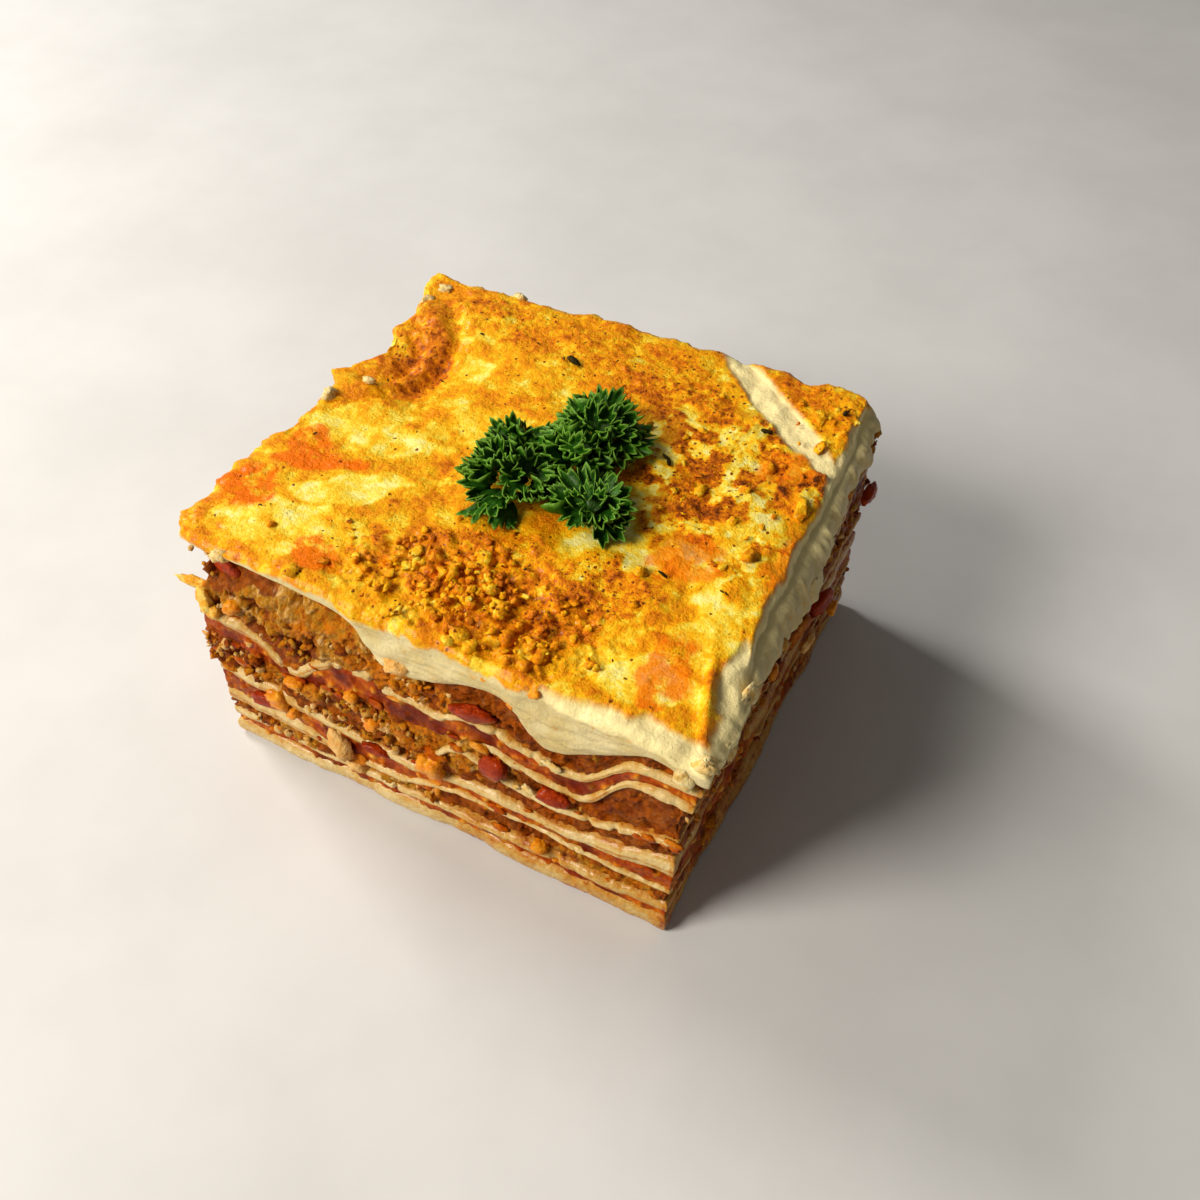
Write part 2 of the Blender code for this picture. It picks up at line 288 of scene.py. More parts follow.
# %% Put points and faces into a mesh object
def make_piece(name, points, face_sets, fields=None):
    """A smooth-shaded object in metres at the origin, with per-point attributes."""
    points = np.asarray(points, float).reshape(-1, 3) * MM
    corners = np.concatenate([faces.ravel() for faces in face_sets])
    sizes = np.concatenate([np.full(len(faces), faces.shape[1]) for faces in face_sets])
    mesh = bpy.data.meshes.new(name)
    mesh.vertices.add(len(points))
    mesh.vertices.foreach_set("co", points.ravel())
    mesh.loops.add(len(corners))
    mesh.loops.foreach_set("vertex_index", corners.astype(np.int32))
    mesh.polygons.add(len(sizes))
    starts = np.concatenate([[0], np.cumsum(sizes)[:-1]])
    mesh.polygons.foreach_set("loop_start", starts.astype(np.int32))
    mesh.polygons.foreach_set("use_smooth", np.ones(len(sizes), bool))
    for label, values in (fields or {}).items():
        layer = mesh.attributes.new(label, "FLOAT", "POINT")
        layer.data.foreach_set("value", np.asarray(values, np.float32).ravel())
    mesh.update(calc_edges=True)
    mesh.validate()
    piece = bpy.data.objects.new(name, mesh)
    bpy.context.scene.collection.objects.link(piece)
    return piece


def publish(piece, material, node=None):
    """Give the piece its material, hang it under the root body, and hide the frame's node that it stands for.
    """
    piece.data.materials.append(material)
    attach(piece, "root")
    if node:
        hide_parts(node)
    print(f"{piece.name}: {len(piece.data.polygons)} faces")
    return piece


def repeated(faces, count, size):
    """The faces of one small shape of `size` points, for `count` copies in a row."""
    return (faces[None] + (np.arange(count) * size)[:, None, None]).reshape(-1, faces.shape[1])


# %% [markdown]
# ## Materials: shared effects first
#
# Food is wet, mottled and partly see-through. Three effects come up in several
# finishes, so each is built once as a node group: a mottle is a mask of soft patches,
# specks are dots of random size, and unevenness is a noise about zero that makes the
# edges of patches ragged. The groups take the position in millimetres, so a size in
# them reads as a real size.


# %% Small helpers for node trees
def fill(tree, socket, value):
    """Set a socket, or link it when the value is another socket."""
    if isinstance(value, bpy.types.NodeSocket):
        tree.links.new(value, socket)
    else:
        socket.default_value = value


def add_node(tree, kind, group=None, **inputs):
    """A node with its sockets filled; the label _0 means the first socket."""
    node = tree.nodes.new(kind)
    if group:
        node.node_tree = group
    for label, value in inputs.items():
        fill(tree, node.inputs[int(label[1:]) if label[0] == "_" else label], value)
    return node


def add_math(tree, operation, first, second):
    """One arithmetic step; returns its output socket."""
    node = add_node(tree, "ShaderNodeMath", _0=first, _1=second)
    node.operation = operation
    return node.outputs[0]


def add_sum(tree, total, *others):
    """The sum of sockets and numbers."""
    for other in others:
        total = add_math(tree, "ADD", total, other)
    return total


def add_product(tree, total, *others):
    """The product of sockets and numbers."""
    for other in others:
        total = add_math(tree, "MULTIPLY", total, other)
    return total


def add_mix(tree, factor, first, second):
    """Blend two colours by a factor; returns the colour socket."""
    node = tree.nodes.new("ShaderNodeMix")
    node.data_type = "RGBA"
    for place, value in ((0, factor), (6, first), (7, second)):
        fill(tree, node.inputs[place], value)
    return node.outputs[2]


def add_range(tree, value, low, high, start=0.0, end=1.0):
    """Map a value smoothly from one range to another."""
    node = add_node(tree, "ShaderNodeMapRange", _0=value, _1=low, _2=high, _3=start, _4=end)
    node.interpolation_type = "SMOOTHSTEP"
    return node.outputs[0]


def field(tree, label):
    """A number kept on the mesh's points."""
    node = tree.nodes.new("ShaderNodeAttribute")
    node.attribute_name = label
    return node.outputs["Fac"]


def colour(red, green, blue):
    """An sRGB colour of 0 to 255 as the linear colour that a shader reads."""
    parts = [part / 255.0 for part in (red, green, blue)]
    linear = [p / 12.92 if p <= 0.04045 else ((p + 0.055) / 1.055) ** 2.4 for p in parts]
    return (*linear, 1.0)


def add_ramp(tree, factor, stops):
    """A colour ramp through (position, sRGB colour) stops; returns the colour socket."""
    ramp = add_node(tree, "ShaderNodeValToRGB", _0=factor)
    while len(ramp.color_ramp.elements) < len(stops):
        ramp.color_ramp.elements.new(0.5)
    for element, (position, shade) in zip(ramp.color_ramp.elements, stops):
        element.position = position
        element.color = colour(*shade)
    return ramp.outputs[0]


# %% Group: mottle
def new_group(name, numbers):
    """An empty group that turns a place and some numbers into one value."""
    group = bpy.data.node_groups.new(name, "ShaderNodeTree")
    group.interface.new_socket("Place", in_out="INPUT", socket_type="NodeSocketVector")
    for label in numbers:
        group.interface.new_socket(label, in_out="INPUT", socket_type="NodeSocketFloat")
    group.interface.new_socket("Value", in_out="OUTPUT", socket_type="NodeSocketFloat")
    given = group.nodes.new("NodeGroupInput").outputs
    return group, given, group.nodes.new("NodeGroupOutput").inputs[0]


def noise_of_size(tree, given, detail, roughness):
    """Noise from 0 to 1 whose patches have the group's Size."""
    scale = add_math(tree, "DIVIDE", 1.0, given["Size"])
    return add_node(tree, "ShaderNodeTexNoise", Vector=given["Place"], Scale=scale,
                    Detail=detail, Roughness=roughness).outputs[0]


def build_mottle():
    """Soft patches: a mask that goes from 0 to 1 as the noise goes from Low to High."""
    tree, given, made = new_group("mottle", ("Size", "Low", "High"))
    noise = noise_of_size(tree, given, 4.0, 0.6)
    tree.links.new(add_range(tree, noise, given["Low"], given["High"]), made)
    return tree


MOTTLE = build_mottle()


def mottle(tree, place, size, low, high):
    """Place the mottle group and return its mask."""
    return add_node(tree, "ShaderNodeGroup", MOTTLE, Place=place, Size=size, Low=low, High=high).outputs[0]


# %% Group: unevenness
def build_unevenness():
    """Noise about zero whose octaves fade slowly, so that patches have ragged edges."""
    tree, given, made = new_group("unevenness", ("Size", "Strength"))
    about_zero = add_math(tree, "SUBTRACT", noise_of_size(tree, given, 5.0, 0.68), 0.5)
    tree.links.new(add_product(tree, about_zero, given["Strength"]), made)
    return tree


UNEVENNESS = build_unevenness()


def unevenness(tree, place, size, strength):
    """Place the unevenness group and return its value."""
    return add_node(tree, "ShaderNodeGroup", UNEVENNESS, Place=place, Size=size, Strength=strength).outputs[0]


# %% Group: specks
def build_specks():
    """Dots round scattered points, bent out of round by a warp. A point has a dot when
    its own number is below Share; the dot's reach is Radius (0.4 + a second number),
    and it fades over the outer 45 %."""
    tree, given, made = new_group("specks", ("Spacing", "Radius", "Share"))
    scale = add_math(tree, "DIVIDE", 1.0, given["Spacing"])
    warp = add_node(tree, "ShaderNodeTexNoise", Vector=given["Place"], Scale=1.7, Detail=2.0)
    shake = add_node(tree, "ShaderNodeVectorMath", _0=warp.outputs["Color"], _1=(0.6, 0.6, 0.6))
    shake.operation = "MULTIPLY"
    place = add_node(tree, "ShaderNodeVectorMath", _0=given["Place"], _1=shake.outputs[0])
    dots = add_node(tree, "ShaderNodeTexVoronoi", Vector=place.outputs[0], Scale=scale)
    numbers = add_node(tree, "ShaderNodeSeparateColor", Color=dots.outputs["Color"]).outputs
    chosen = add_math(tree, "LESS_THAN", numbers[0], given["Share"])
    reach = add_product(tree, given["Radius"], add_sum(tree, numbers[1], 0.4), scale)
    dot = add_range(tree, dots.outputs["Distance"], add_product(tree, reach, 0.55), reach, 1.0, 0.0)
    tree.links.new(add_product(tree, dot, chosen), made)
    return tree


SPECKS = build_specks()


def specks(tree, place, spacing, radius, share):
    """Place the specks group and return its mask."""
    return add_node(tree, "ShaderNodeGroup", SPECKS, Place=place, Spacing=spacing, Radius=radius,
                    Share=share).outputs[0]


# %% Start and end of every material
RED_SCATTERS_FARTHEST = (1.0, 0.4, 0.15)
AMBER = (1.0, 0.6, 0.3)


def new_material(name, roughness, coat=0.0, subsurface=0.0, shine=(1.0, 0.8, 0.55), gloss=0.2):
    """A material with its Principled shader, and the position in millimetres. A warm
    `shine` and a low `gloss` keep grey light out of the reds and golds."""
    material = bpy.data.materials.new(name)
    material.use_nodes = True
    tree = material.node_tree
    shader = tree.nodes["Principled BSDF"]
    for label, value in (
        ("Roughness", roughness), ("Specular IOR Level", gloss), ("Specular Tint", (*shine, 1.0)),
        ("Coat Weight", coat), ("Coat Roughness", 0.12), ("Subsurface Weight", subsurface),
        ("Subsurface Radius", RED_SCATTERS_FARTHEST), ("Subsurface Scale", 1.2 * MM),
    ):
        shader.inputs[label].default_value = value
    where = tree.nodes.new("ShaderNodeTexCoord").outputs["Object"]
    place = add_node(tree, "ShaderNodeVectorMath", _0=where, _1=(1 / MM, 1 / MM, 1 / MM))
    place.operation = "MULTIPLY"
    return material, tree, shader, place.outputs[0]


def add_bump(tree, shader, height, distance):
    """Fine relief that the mesh is too coarse for, up to a distance in millimetres."""
    node = add_node(tree, "ShaderNodeBump", Height=height, Distance=distance * MM, Strength=1.0)
    tree.links.new(node.outputs[0], shader.inputs["Normal"])


def paint(tree, shader, shade):
    """Give the shader its colour."""
    tree.links.new(shade, shader.inputs["Base Color"])


# %% [markdown]
# ## Finish: cooked pasta
#
# A cut pasta edge is pale cream with a faint see-through look, and the sauce beside
# it stains it orange in patches. The `stain` number on the mesh says how close to the
# sauce a point lies; unevenness at two sizes breaks that up.


# %% Pasta material
PASTA_STOPS = ((0.0, (226, 198, 138)), (0.22, (212, 178, 108)), (0.42, (200, 150, 64)),
               (0.6, (192, 124, 30)), (0.75, (156, 76, 6)), (1.0, (108, 34, 2)))


def pasta_finish():
    """Place on the ramp = 0.5 stain + 0.09 + broad and fine unevenness."""
    material, tree, shader, place = new_material(
        "cooked_pasta", roughness=0.26, coat=0.2, subsurface=0.1, shine=(1.0, 0.9, 0.75), gloss=0.25)
    level = add_sum(tree, add_product(tree, field(tree, "stain"), 0.5), 0.09,
                    unevenness(tree, place, 6.0, 1.15), unevenness(tree, place, 1.6, 0.8))
    paint(tree, shader, add_ramp(tree, level, PASTA_STOPS))
    add_bump(tree, shader, mottle(tree, place, 0.8, 0.3, 0.7), 0.12)
    return material


# %% [markdown]
# ## Finish: minced meat and red sauce
#
# Minced meat is many small grains, each its own brown, with sauce in the gaps. The
# mesh carries `grain`, a number for each grain, `deep`, which is 1 in the gaps and
# pits and paints them dark, partly as the sauce there and partly as painted shade,
# and `wet`, which is 1 where sauce covers the meat. The red sauce uses `grain` and
# `deep` with redder colours and a smoother surface; there `deep` marks darker patches
# of sauce at random.


# %% Meat material
MEAT_STOPS = ((0.0, (104, 36, 4)), (0.2, (152, 70, 8)), (0.36, (190, 104, 10)), (0.5, (212, 134, 22)),
              (0.64, (176, 122, 26)), (0.8, (218, 156, 62)), (1.0, (244, 200, 130)))


def meat_finish():
    """Grain and unevenness pick a brown; orange patches, wet sauce and the dark gaps
    go over it in turn, and what is wet or deep is also smoother. The gaps' dark is
    partly the sauce in them and partly painted shade."""
    material, tree, shader, place = new_material(
        "minced_meat_in_sauce", roughness=0.36, shine=AMBER, gloss=0.15)
    deep = field(tree, "deep")
    level = add_sum(tree, field(tree, "grain"), unevenness(tree, place, 1.2, 1.1),
                    unevenness(tree, place, 9.0, 1.3))
    base = add_ramp(tree, level, MEAT_STOPS)
    base = add_mix(tree, mottle(tree, place, 7.0, 0.54, 0.66), base, colour(220, 124, 10))
    wet = add_sum(tree, field(tree, "wet"), unevenness(tree, place, 4.0, 1.2))
    wet = add_range(tree, wet, 0.4, 0.6, 0.0, 0.85)
    sauce = add_mix(tree, mottle(tree, place, 2.2, 0.35, 0.6), colour(104, 26, 0), colour(166, 72, 4))
    base = add_mix(tree, wet, base, sauce)
    # painted shade: gaps and pits are painted dark red-brown, partly the sauce in them and partly shade
    paint(tree, shader, add_mix(tree, deep, base, colour(98, 28, 0)))
    shiny = add_math(tree, "MAXIMUM", deep, wet)
    tree.links.new(add_range(tree, shiny, 0.0, 1.0, 0.38, 0.18), shader.inputs["Roughness"])
    add_bump(tree, shader, unevenness(tree, place, 0.9, 1.0), 0.8)
    return material


# %% Red sauce material
RED_STOPS = ((0.0, (112, 24, 0)), (0.35, (148, 46, 0)), (0.6, (182, 84, 4)), (0.8, (206, 122, 18)),
             (1.0, (226, 160, 60)))


def red_finish():
    """Place on the ramp = 0.46 + broad and fine unevenness + 0.35 grain."""
    material, tree, shader, place = new_material(
        "red_sauce", roughness=0.28, shine=(1.0, 0.5, 0.2), gloss=0.15)
    level = add_sum(tree, unevenness(tree, place, 4.0, 1.6), 0.46, unevenness(tree, place, 1.2, 0.8),
                    add_product(tree, field(tree, "grain"), 0.35))
    base = add_ramp(tree, level, RED_STOPS)
    paint(tree, shader, add_mix(tree, field(tree, "deep"), base, colour(98, 20, 0)))
    add_bump(tree, shader, unevenness(tree, place, 1.5, 1.0), 0.5)
    return material


# %% [markdown]
# ## Finish: white sauce and its baked crust
#
# The white sauce is one mass whose top the oven has browned, so it is one piece with
# one material. The mesh carries five numbers that belong with its relief: `baked` (1
# on the crust), `bake_and_shade` (how far along the ramp from cream through gold and
# orange to rust brown: the baking, with painted shade added in crevices, folds and a
# crack), `brown` (where dark specks gather), `oily` and `bare` (torn off).


# %% White sauce and crust material
BAKE_STOPS = ((0.0, (255, 238, 140)), (0.16, (255, 220, 66)), (0.32, (252, 186, 12)),
              (0.48, (246, 156, 4)), (0.62, (228, 128, 3)), (0.76, (198, 98, 2)),
              (0.9, (150, 68, 2)), (1.0, (92, 40, 2)))


def crust_finish():
    """White sauce with stains and flecks, with painted light where the top is torn
    bare; crust from the ramp with oil and two kinds of specks; the crust lies over the
    white where it is baked and not bare."""
    material, tree, shader, place = new_material(
        "white_sauce_and_crust", roughness=0.42, coat=0.08, subsurface=0.06, shine=(1.0, 0.75, 0.45),
        gloss=0.15)
    labels = ("baked", "bake_and_shade", "brown", "oily", "bare")
    baked, bake_and_shade, brown, oily, bare = [field(tree, label) for label in labels]

    white = add_mix(tree, mottle(tree, place, 6.0, 0.35, 0.65), colour(226, 208, 154), colour(212, 188, 124))
    stained = add_product(tree, mottle(tree, place, 2.4, 0.62, 0.7), 0.6)
    white = add_mix(tree, stained, white, colour(226, 166, 70))
    white = add_mix(tree, specks(tree, place, 3.0, 0.2, 0.14), white, colour(92, 64, 20))
    # painted light: the torn-bare top shows the white sauce's cream, painted lighter than on the sides as
    # light on the upward face
    white = add_mix(tree, add_product(tree, baked, bare), white, colour(250, 230, 164))

    ragged = add_sum(tree, add_product(tree, brown, 1.2), 0.45)
    # the ramp's place: the baking level, which also carries painted shade in crevices, folds and a crack
    level = add_sum(tree, bake_and_shade, unevenness(tree, place, 5.0, 1.25),
                    unevenness(tree, place, 1.5, ragged), unevenness(tree, place, 0.5, 0.45))
    gold = add_ramp(tree, level, BAKE_STOPS)
    oil = add_product(tree, oily, mottle(tree, place, 4.0, 0.3, 0.5))
    gold = add_mix(tree, oil, gold, colour(248, 116, 1))
    many = add_range(tree, brown, 0.0, 1.0, 0.05, 0.6)
    gold = add_mix(tree, specks(tree, place, 0.9, 0.32, many), gold, colour(128, 58, 4))
    few = add_range(tree, brown, 0.2, 1.0, 0.01, 0.14)
    gold = add_mix(tree, specks(tree, place, 3.0, 0.38, few), gold, colour(60, 28, 8))

    covered = add_product(tree, baked, add_math(tree, "SUBTRACT", 1.0, bare))
    paint(tree, shader, add_mix(tree, covered, white, gold))
    tree.links.new(add_range(tree, oily, 0.0, 1.0, 0.4, 0.22), shader.inputs["Roughness"])
    rough_where_baked = add_range(tree, bake_and_shade, 0.1, 0.5, 0.2, 1.0)
    grainy = add_sum(tree, add_product(tree, covered, 0.9, rough_where_baked), 0.1)
    grains = add_sum(tree, unevenness(tree, place, 1.5, grainy), unevenness(tree, place, 0.6, 0.3))
    add_bump(tree, shader, grains, 1.0)
    return material


# %% [markdown]
# ## Finish: parsley and the small bits
#
# Parsley is dark and slightly shiny, paler along its veins, with a painted highlight
# along the curled margin of each leaf and painted shade towards its stalk and the
# middle of each head. The bits in the sauce are simple: one hue each, mottled, and a
# little darker on some bits than on others.


# %% Parsley material
def parsley_finish():
    """Two greens in patches, then the vein, a painted highlight on the margin and painted shade near the
    leaf's base.
    """
    material, tree, shader, place = new_material("parsley_leaf", roughness=0.45, coat=0.08)
    leaf = add_mix(tree, mottle(tree, place, 3.0, 0.35, 0.65), colour(22, 66, 7), colour(44, 100, 12))
    # painted highlight on the margins and painted shade at the leaf bases, over the leaf's own greens and
    # veins
    for label, shade in (("vein", (62, 118, 24)), ("margin", (112, 158, 44)), ("inner_shade", (10, 32, 3))):
        leaf = add_mix(tree, field(tree, label), leaf, colour(*shade))
    paint(tree, shader, leaf)
    add_bump(tree, shader, mottle(tree, place, 0.9, 0.3, 0.7), 0.1)
    return material


def bit_finish(name, first, second, roughness, coat):
    """A mottled hue for small pieces, darkened by the piece's own number."""
    material, tree, shader, place = new_material(name, roughness, coat, subsurface=0.05, shine=AMBER)
    base = add_mix(tree, mottle(tree, place, 1.6, 0.35, 0.65), colour(*first), colour(*second))
    darker = add_product(tree, field(tree, "grain"), 0.18)
    paint(tree, shader, add_mix(tree, darker, base, colour(*[part // 2 for part in second])))
    add_bump(tree, shader, mottle(tree, place, 0.7, 0.3, 0.7), 0.15)
    return material


PASTA = pasta_finish()
MEAT = meat_finish()
RED = red_finish()
CRUST = crust_finish()
LEAF = parsley_finish()
# each kind of bit: two colours, then its roughness and its coat
CARROT = bit_finish("carrot_bits", (250, 166, 30), (236, 130, 8), 0.3, 0.2)
TOMATO = bit_finish("tomato_bits", (184, 58, 4), (142, 32, 0), 0.18, 0.1)
CURD = bit_finish("white_curds", (244, 222, 160), (232, 186, 96), 0.4, 0.1)
CHEESE = bit_finish("melted_shreds", (255, 224, 112), (250, 170, 30), 0.35, 0.1)
ONION = bit_finish("onion_bits", (250, 202, 124), (236, 168, 76), 0.3, 0.1)
HERB = bit_finish("dried_herbs", (54, 44, 12), (30, 30, 8), 0.6, 0.0)
print("materials:", len(bpy.data.materials))

# %% [markdown]
# ## The layers of the stack
#
# One function makes every layer below the white sauce. Its surface runs from a point
# in the middle of the underside out to the edge in rings, up the cut side in rows,
# and back over the top to the middle. Only the outer few millimetres show, so the
# rings crowd there. The side rows bulge between their top and bottom edges, which
# rounds a pasta edge and lets a filling swell out between two sheets.

# %% Stations round the slice
STATIONS = (380, 240, 180, 200)  # on the front, right, back and left
RINGS = np.array([0.3, 0.8, 1.6, 3.0, 6.0, 12.0, 24.0])  # mm in from the edge


def path_round(counts):
    """u, v and the outward direction of each station; a corner points both ways."""
    front, right, back, left = [np.arange(n) / n for n in counts]
    u = np.concatenate([front, np.ones(len(right)), 1 - back, np.zeros(len(left))])
    v = np.concatenate([np.zeros(len(front)), right, np.ones(len(back)), 1 - left])
    outward_x = smooth_step((u - 0.99) / 0.02) - smooth_step((0.01 - u) / 0.02)
    outward_y = smooth_step((v - 0.99) / 0.02) - smooth_step((0.01 - v) / 0.02)
    size = np.hypot(outward_x, outward_y)
    return u, v, outward_x / size, outward_y / size


PATH = path_round(STATIONS)
print("stations round the slice:", len(PATH[0]))


# %% Where a sheet's edge is hidden under the filling
MIDDLE_SHEETS_FROM = {4: (47.5, 3), 5: (60.0, 5)}  # where they come out: (along, fade)


def hidden(number):
    """1 where the cut edge of a sheet is smeared over. That comes from slow noise; on
    the front it comes from ragged noise, rarer at the right, and two middle sheets
    also run behind the meat there up to a place."""
    u, v, _, _ = PATH
    along = u * FACE_LENGTH
    spots = smooth_step(fractal(u * 8, v * 8, number * 3.7, 1.3, 40 + number) * 3.0 - 1.0)
    ragged = smooth_step(fractal(along, v, number * 5.3, 6.0, 50 + number, 4) * 3.5 - 1.7)
    ragged = ragged * (0.9 - 0.45 * smooth_step((along - 52.0) / 20.0))
    if number in MIDDLE_SHEETS_FROM:
        place, fade = MIDDLE_SHEETS_FROM[number]
        ragged = np.maximum(ragged, 1 - smooth_step((along - place) / fade))
    on_front = v < 0.0219  # with the first few stations of the two sides
    return np.where(on_front, ragged, spots) * (number > 0)


HIDDEN = [hidden(number) for number in range(SHEET_COUNT)]


# %% The shell of one layer
OVERLAP = 1.0  # mm that a filling reaches into the sheets, so that no gap can open


def sheet_levels(number, along, back, under, over, edge):
    """A sheet's two levels at its edge: both shaken up and down, and drawn together
    towards the right, where the sheets are thinner; less so for the two upper ones."""
    shake = 0.35 * fractal(along, back, number * 9.0, 3.5, 130 + number) * edge
    share = 0.1 if number > 8 else 0.19
    thinner = share * (over - under) * smooth_step((along - 48.0) / 20.0) * edge
    return under + shake + thinner, over + shake - thinner


def filling_levels(number, under, over):
    """A filling's two levels: it overlaps its sheets, and more where they are hidden."""
    above = (number + 1) // 2
    hidden_above = HIDDEN[above] if above < len(HIDDEN) else 0.0
    return under - OVERLAP - 0.8 * HIDDEN[above - 1], over + OVERLAP + 0.8 * hidden_above


def stain_of_sheet(number, along, back, z, lift, thickness, bulge, at_right):
    """Near 1 where sauce has soaked into a sheet: at its margins, more at the lower
    one, low down at the right, on the right side, and along the line where a thick
    band is really two sheets. On the right side the stain is partly soaked sauce and
    partly painted shade."""
    low_right = 0.5 * smooth_step((along - 52.0) / 30.0) * smooth_step((11.0 - z) / 4.0)
    line = 1.1 * bump((lift - 0.5 - 0.1 * fractal(along, back, number, 8.0, 140)) / 0.07)
    split = line * smooth_step(thickness - 3.0) * (number > 0)
    margins = 0.95 - 0.8 * bulge + 0.35 * bump(lift / 0.3)
    # painted shade: the 0.6 at_right darkens the right side's pasta edges, partly as sauce stain and partly
    # as shade
    return np.clip(margins + low_right + split + 0.6 * at_right, 0, 1)


def layer_shell(name, number, rows, rounding, power, proud, relief):
    """Rings under the layer, rows up its side and rings over it, closed at the middle.
    A side point moves outward by proud - rounding * (1 - sqrt(1 - |2w - 1|^power))
    with w from 0 to 1 up the side, and then by the relief at its place. Layers with an
    even number are pasta sheets, the others fillings."""
    u, v, out_x, out_y = PATH
    inward = np.concatenate([RINGS[::-1], np.zeros(rows), RINGS])[:, None]
    lift = np.concatenate([np.zeros(len(RINGS)), np.linspace(0, 1, rows), np.ones(len(RINGS))])[:, None]
    shrink = 1.0 - inward / (DEPTH / 2)
    ring_u = 0.5 + (u - 0.5) * shrink
    ring_v = 0.5 + (v - 0.5) * shrink
    along = ring_u * FACE_LENGTH
    back = ring_v * DEPTH
    under, over = boundaries(along, back)[number:number + 2]
    edge = np.exp(-inward / 4.0)
    if number % 2:
        under, over = filling_levels(number, under, over)
    elif number:
        under, over = sheet_levels(number, along, back, under, over, edge)
    z = under + (over - under) * lift
    x, y = footprint(ring_u, ring_v, z)
    bulge = np.sqrt(np.clip(1.0 - np.abs(2.0 * lift - 1.0) ** power, 0.0, 1.0))
    outward = (proud(along, back, z) - rounding * (1.0 - bulge)) * edge
    fields, rise = relief(x, y, z)
    outward = outward + rise * np.exp(-inward / 1.2) * (0.35 + 0.65 * bulge)
    points = np.stack([x + out_x * outward, y + out_y * outward, z], -1)
    points[..., 2] = np.maximum(points[..., 2], 0.0)
    count = points.shape[0] * points.shape[1]
    ends = points[[0, -1]].mean(axis=1)
    ring = np.arange(len(u))
    faces = [grid_faces(len(inward), len(u), wrap=True),
             fan_faces(ring, count, True), fan_faces(ring + count - len(u), count + 1, False)]
    if number % 2 == 0:
        fields["stain"] = stain_of_sheet(number, along, back, z, lift, over - under, bulge, ring_u > 0.99)
    fields = {label: np.append(values.ravel(), [0.5, 0.5]) for label, values in fields.items()}
    return make_piece(name, np.concatenate([points.reshape(-1, 3), ends]), faces, fields)


# %% Relief of pasta, meat and sauce
def pasta_relief(x, y, z):
    """Slow waviness and small nicks along a cut edge. A relief returns the numbers
    that its material needs, and the rise in millimetres."""
    rise = 0.5 * fractal(x, y, z * 0.3, 6.0, 3) + 0.16 * fractal(x, y, z, 1.3, 5)
    nicks = np.clip(value_noise(x / 1.6, y / 1.6, z / 4, 7) - 0.5, 0, 1)
    return {}, rise - 0.5 * nicks


# pockets of dark sauce in the front: middle x, middle height, half-width, half-height
POCKETS = ((-43, 50, 5, 6), (8, 47, 9, 4), (35, 35, 5, 4), (26, 43, 6, 2.5), (40, 51, 3, 1.5),
           (-12, 16, 6, 3), (24, 28, 4, 2.5), (-8, 32, 5, 3), (-22, 25, 6, 3))


def wet_pockets(x, y, z):
    """1 in the pockets on the front, half wet over its right half, wet on the right
    side, and wet in large soft patches of noise everywhere. The right side's wet is
    partly sauce and partly painted shade for that shaded side."""
    near_front = bump(np.minimum(y - FRONT_Y, 8.0) / 6.0)
    front = sum(bump(np.hypot((x - px) / rx, (z - pz) / rz)) for px, pz, rx, rz in POCKETS)
    front = np.clip(front + 0.52 * smooth_step((x - 6.0) / 16.0), 0, 1) * near_front
    # painted shade: the whole right side is painted as dark wet sauce, partly real sauce and partly shade
    front = np.maximum(front, 0.8 * smooth_step((x - 44.0) / 2.0))
    return np.clip(front + 0.7 * smooth_step(fractal(x, y, z, 9.0, 19, 2) * 3.0), 0, 1)


def meat_relief(x, y, z):
    """Clumps and grains: each cell rises to a rounded top, gaps and pits lie deep."""
    bend_x = 2.4 * fractal(x, y, z, 2.4, 11)
    bend_z = 2.4 * fractal(x, y, z, 2.4, 13)
    far, gap, owner = cells(x + bend_x, y + bend_x, z + bend_z, 2.9, 21)
    small, small_gap, small_owner = cells(x + bend_z, y - bend_x, z + bend_x, 1.2, 31)
    pits = smooth_step((fractal(x, y, z, 4.5, 17) - 0.4) / 0.25)
    wet = wet_pockets(x, y, z)
    rise = 1.1 * (0.5 - far) + 0.7 * (0.5 - small) + 1.5 * fractal(x, y, z, 2.6, 12, 4) - 1.8 * pits
    rise = rise * (1.0 - 0.25 * wet) - 0.6 * wet
    # deep marks the gaps and pits, which are painted dark: partly sauce, partly painted shade
    deep = np.clip(1.0 - gap * 6.0, 0, 1) * 0.4 + np.clip(1.0 - small_gap * 5.0, 0, 1) * 0.25 + 0.7 * pits
    return {"grain": 0.2 + 0.35 * owner + 0.35 * small_owner, "deep": np.clip(deep, 0, 1), "wet": wet}, rise


def sauce_relief(x, y, z):
    """Mostly smooth and sunken, with a few grains standing out."""
    bend = 1.2 * fractal(x, y, z, 3.0, 16)
    far, _, owner = cells(x + bend, y, z + bend, 1.9, 51)
    grains = np.clip(0.55 - far, 0, 1) * (owner > 0.35)
    rise = 0.8 * fractal(x, y, z, 4.0, 14) + 1.3 * grains
    dark = np.clip(-2.0 * fractal(x, y, z, 5.0, 15), 0, 1)
    return {"grain": np.clip(grains * 3.0, 0, 1), "deep": dark}, rise


# %% How far each layer stands out
def front_share(back):
    """1 on the cut face at the front, 0 from a few millimetres behind it."""
    return np.exp(-back / 3.0)


def pasta_proud(number):
    """A sheet's edge wanders by a little and slips back where it is hidden."""
    def proud(along, back, z):
        slow = 0.6 * fractal(along, back, number * 5.0, 14.0, 60 + number)
        return 0.25 + slow - 2.0 * HIDDEN[number]
    return proud


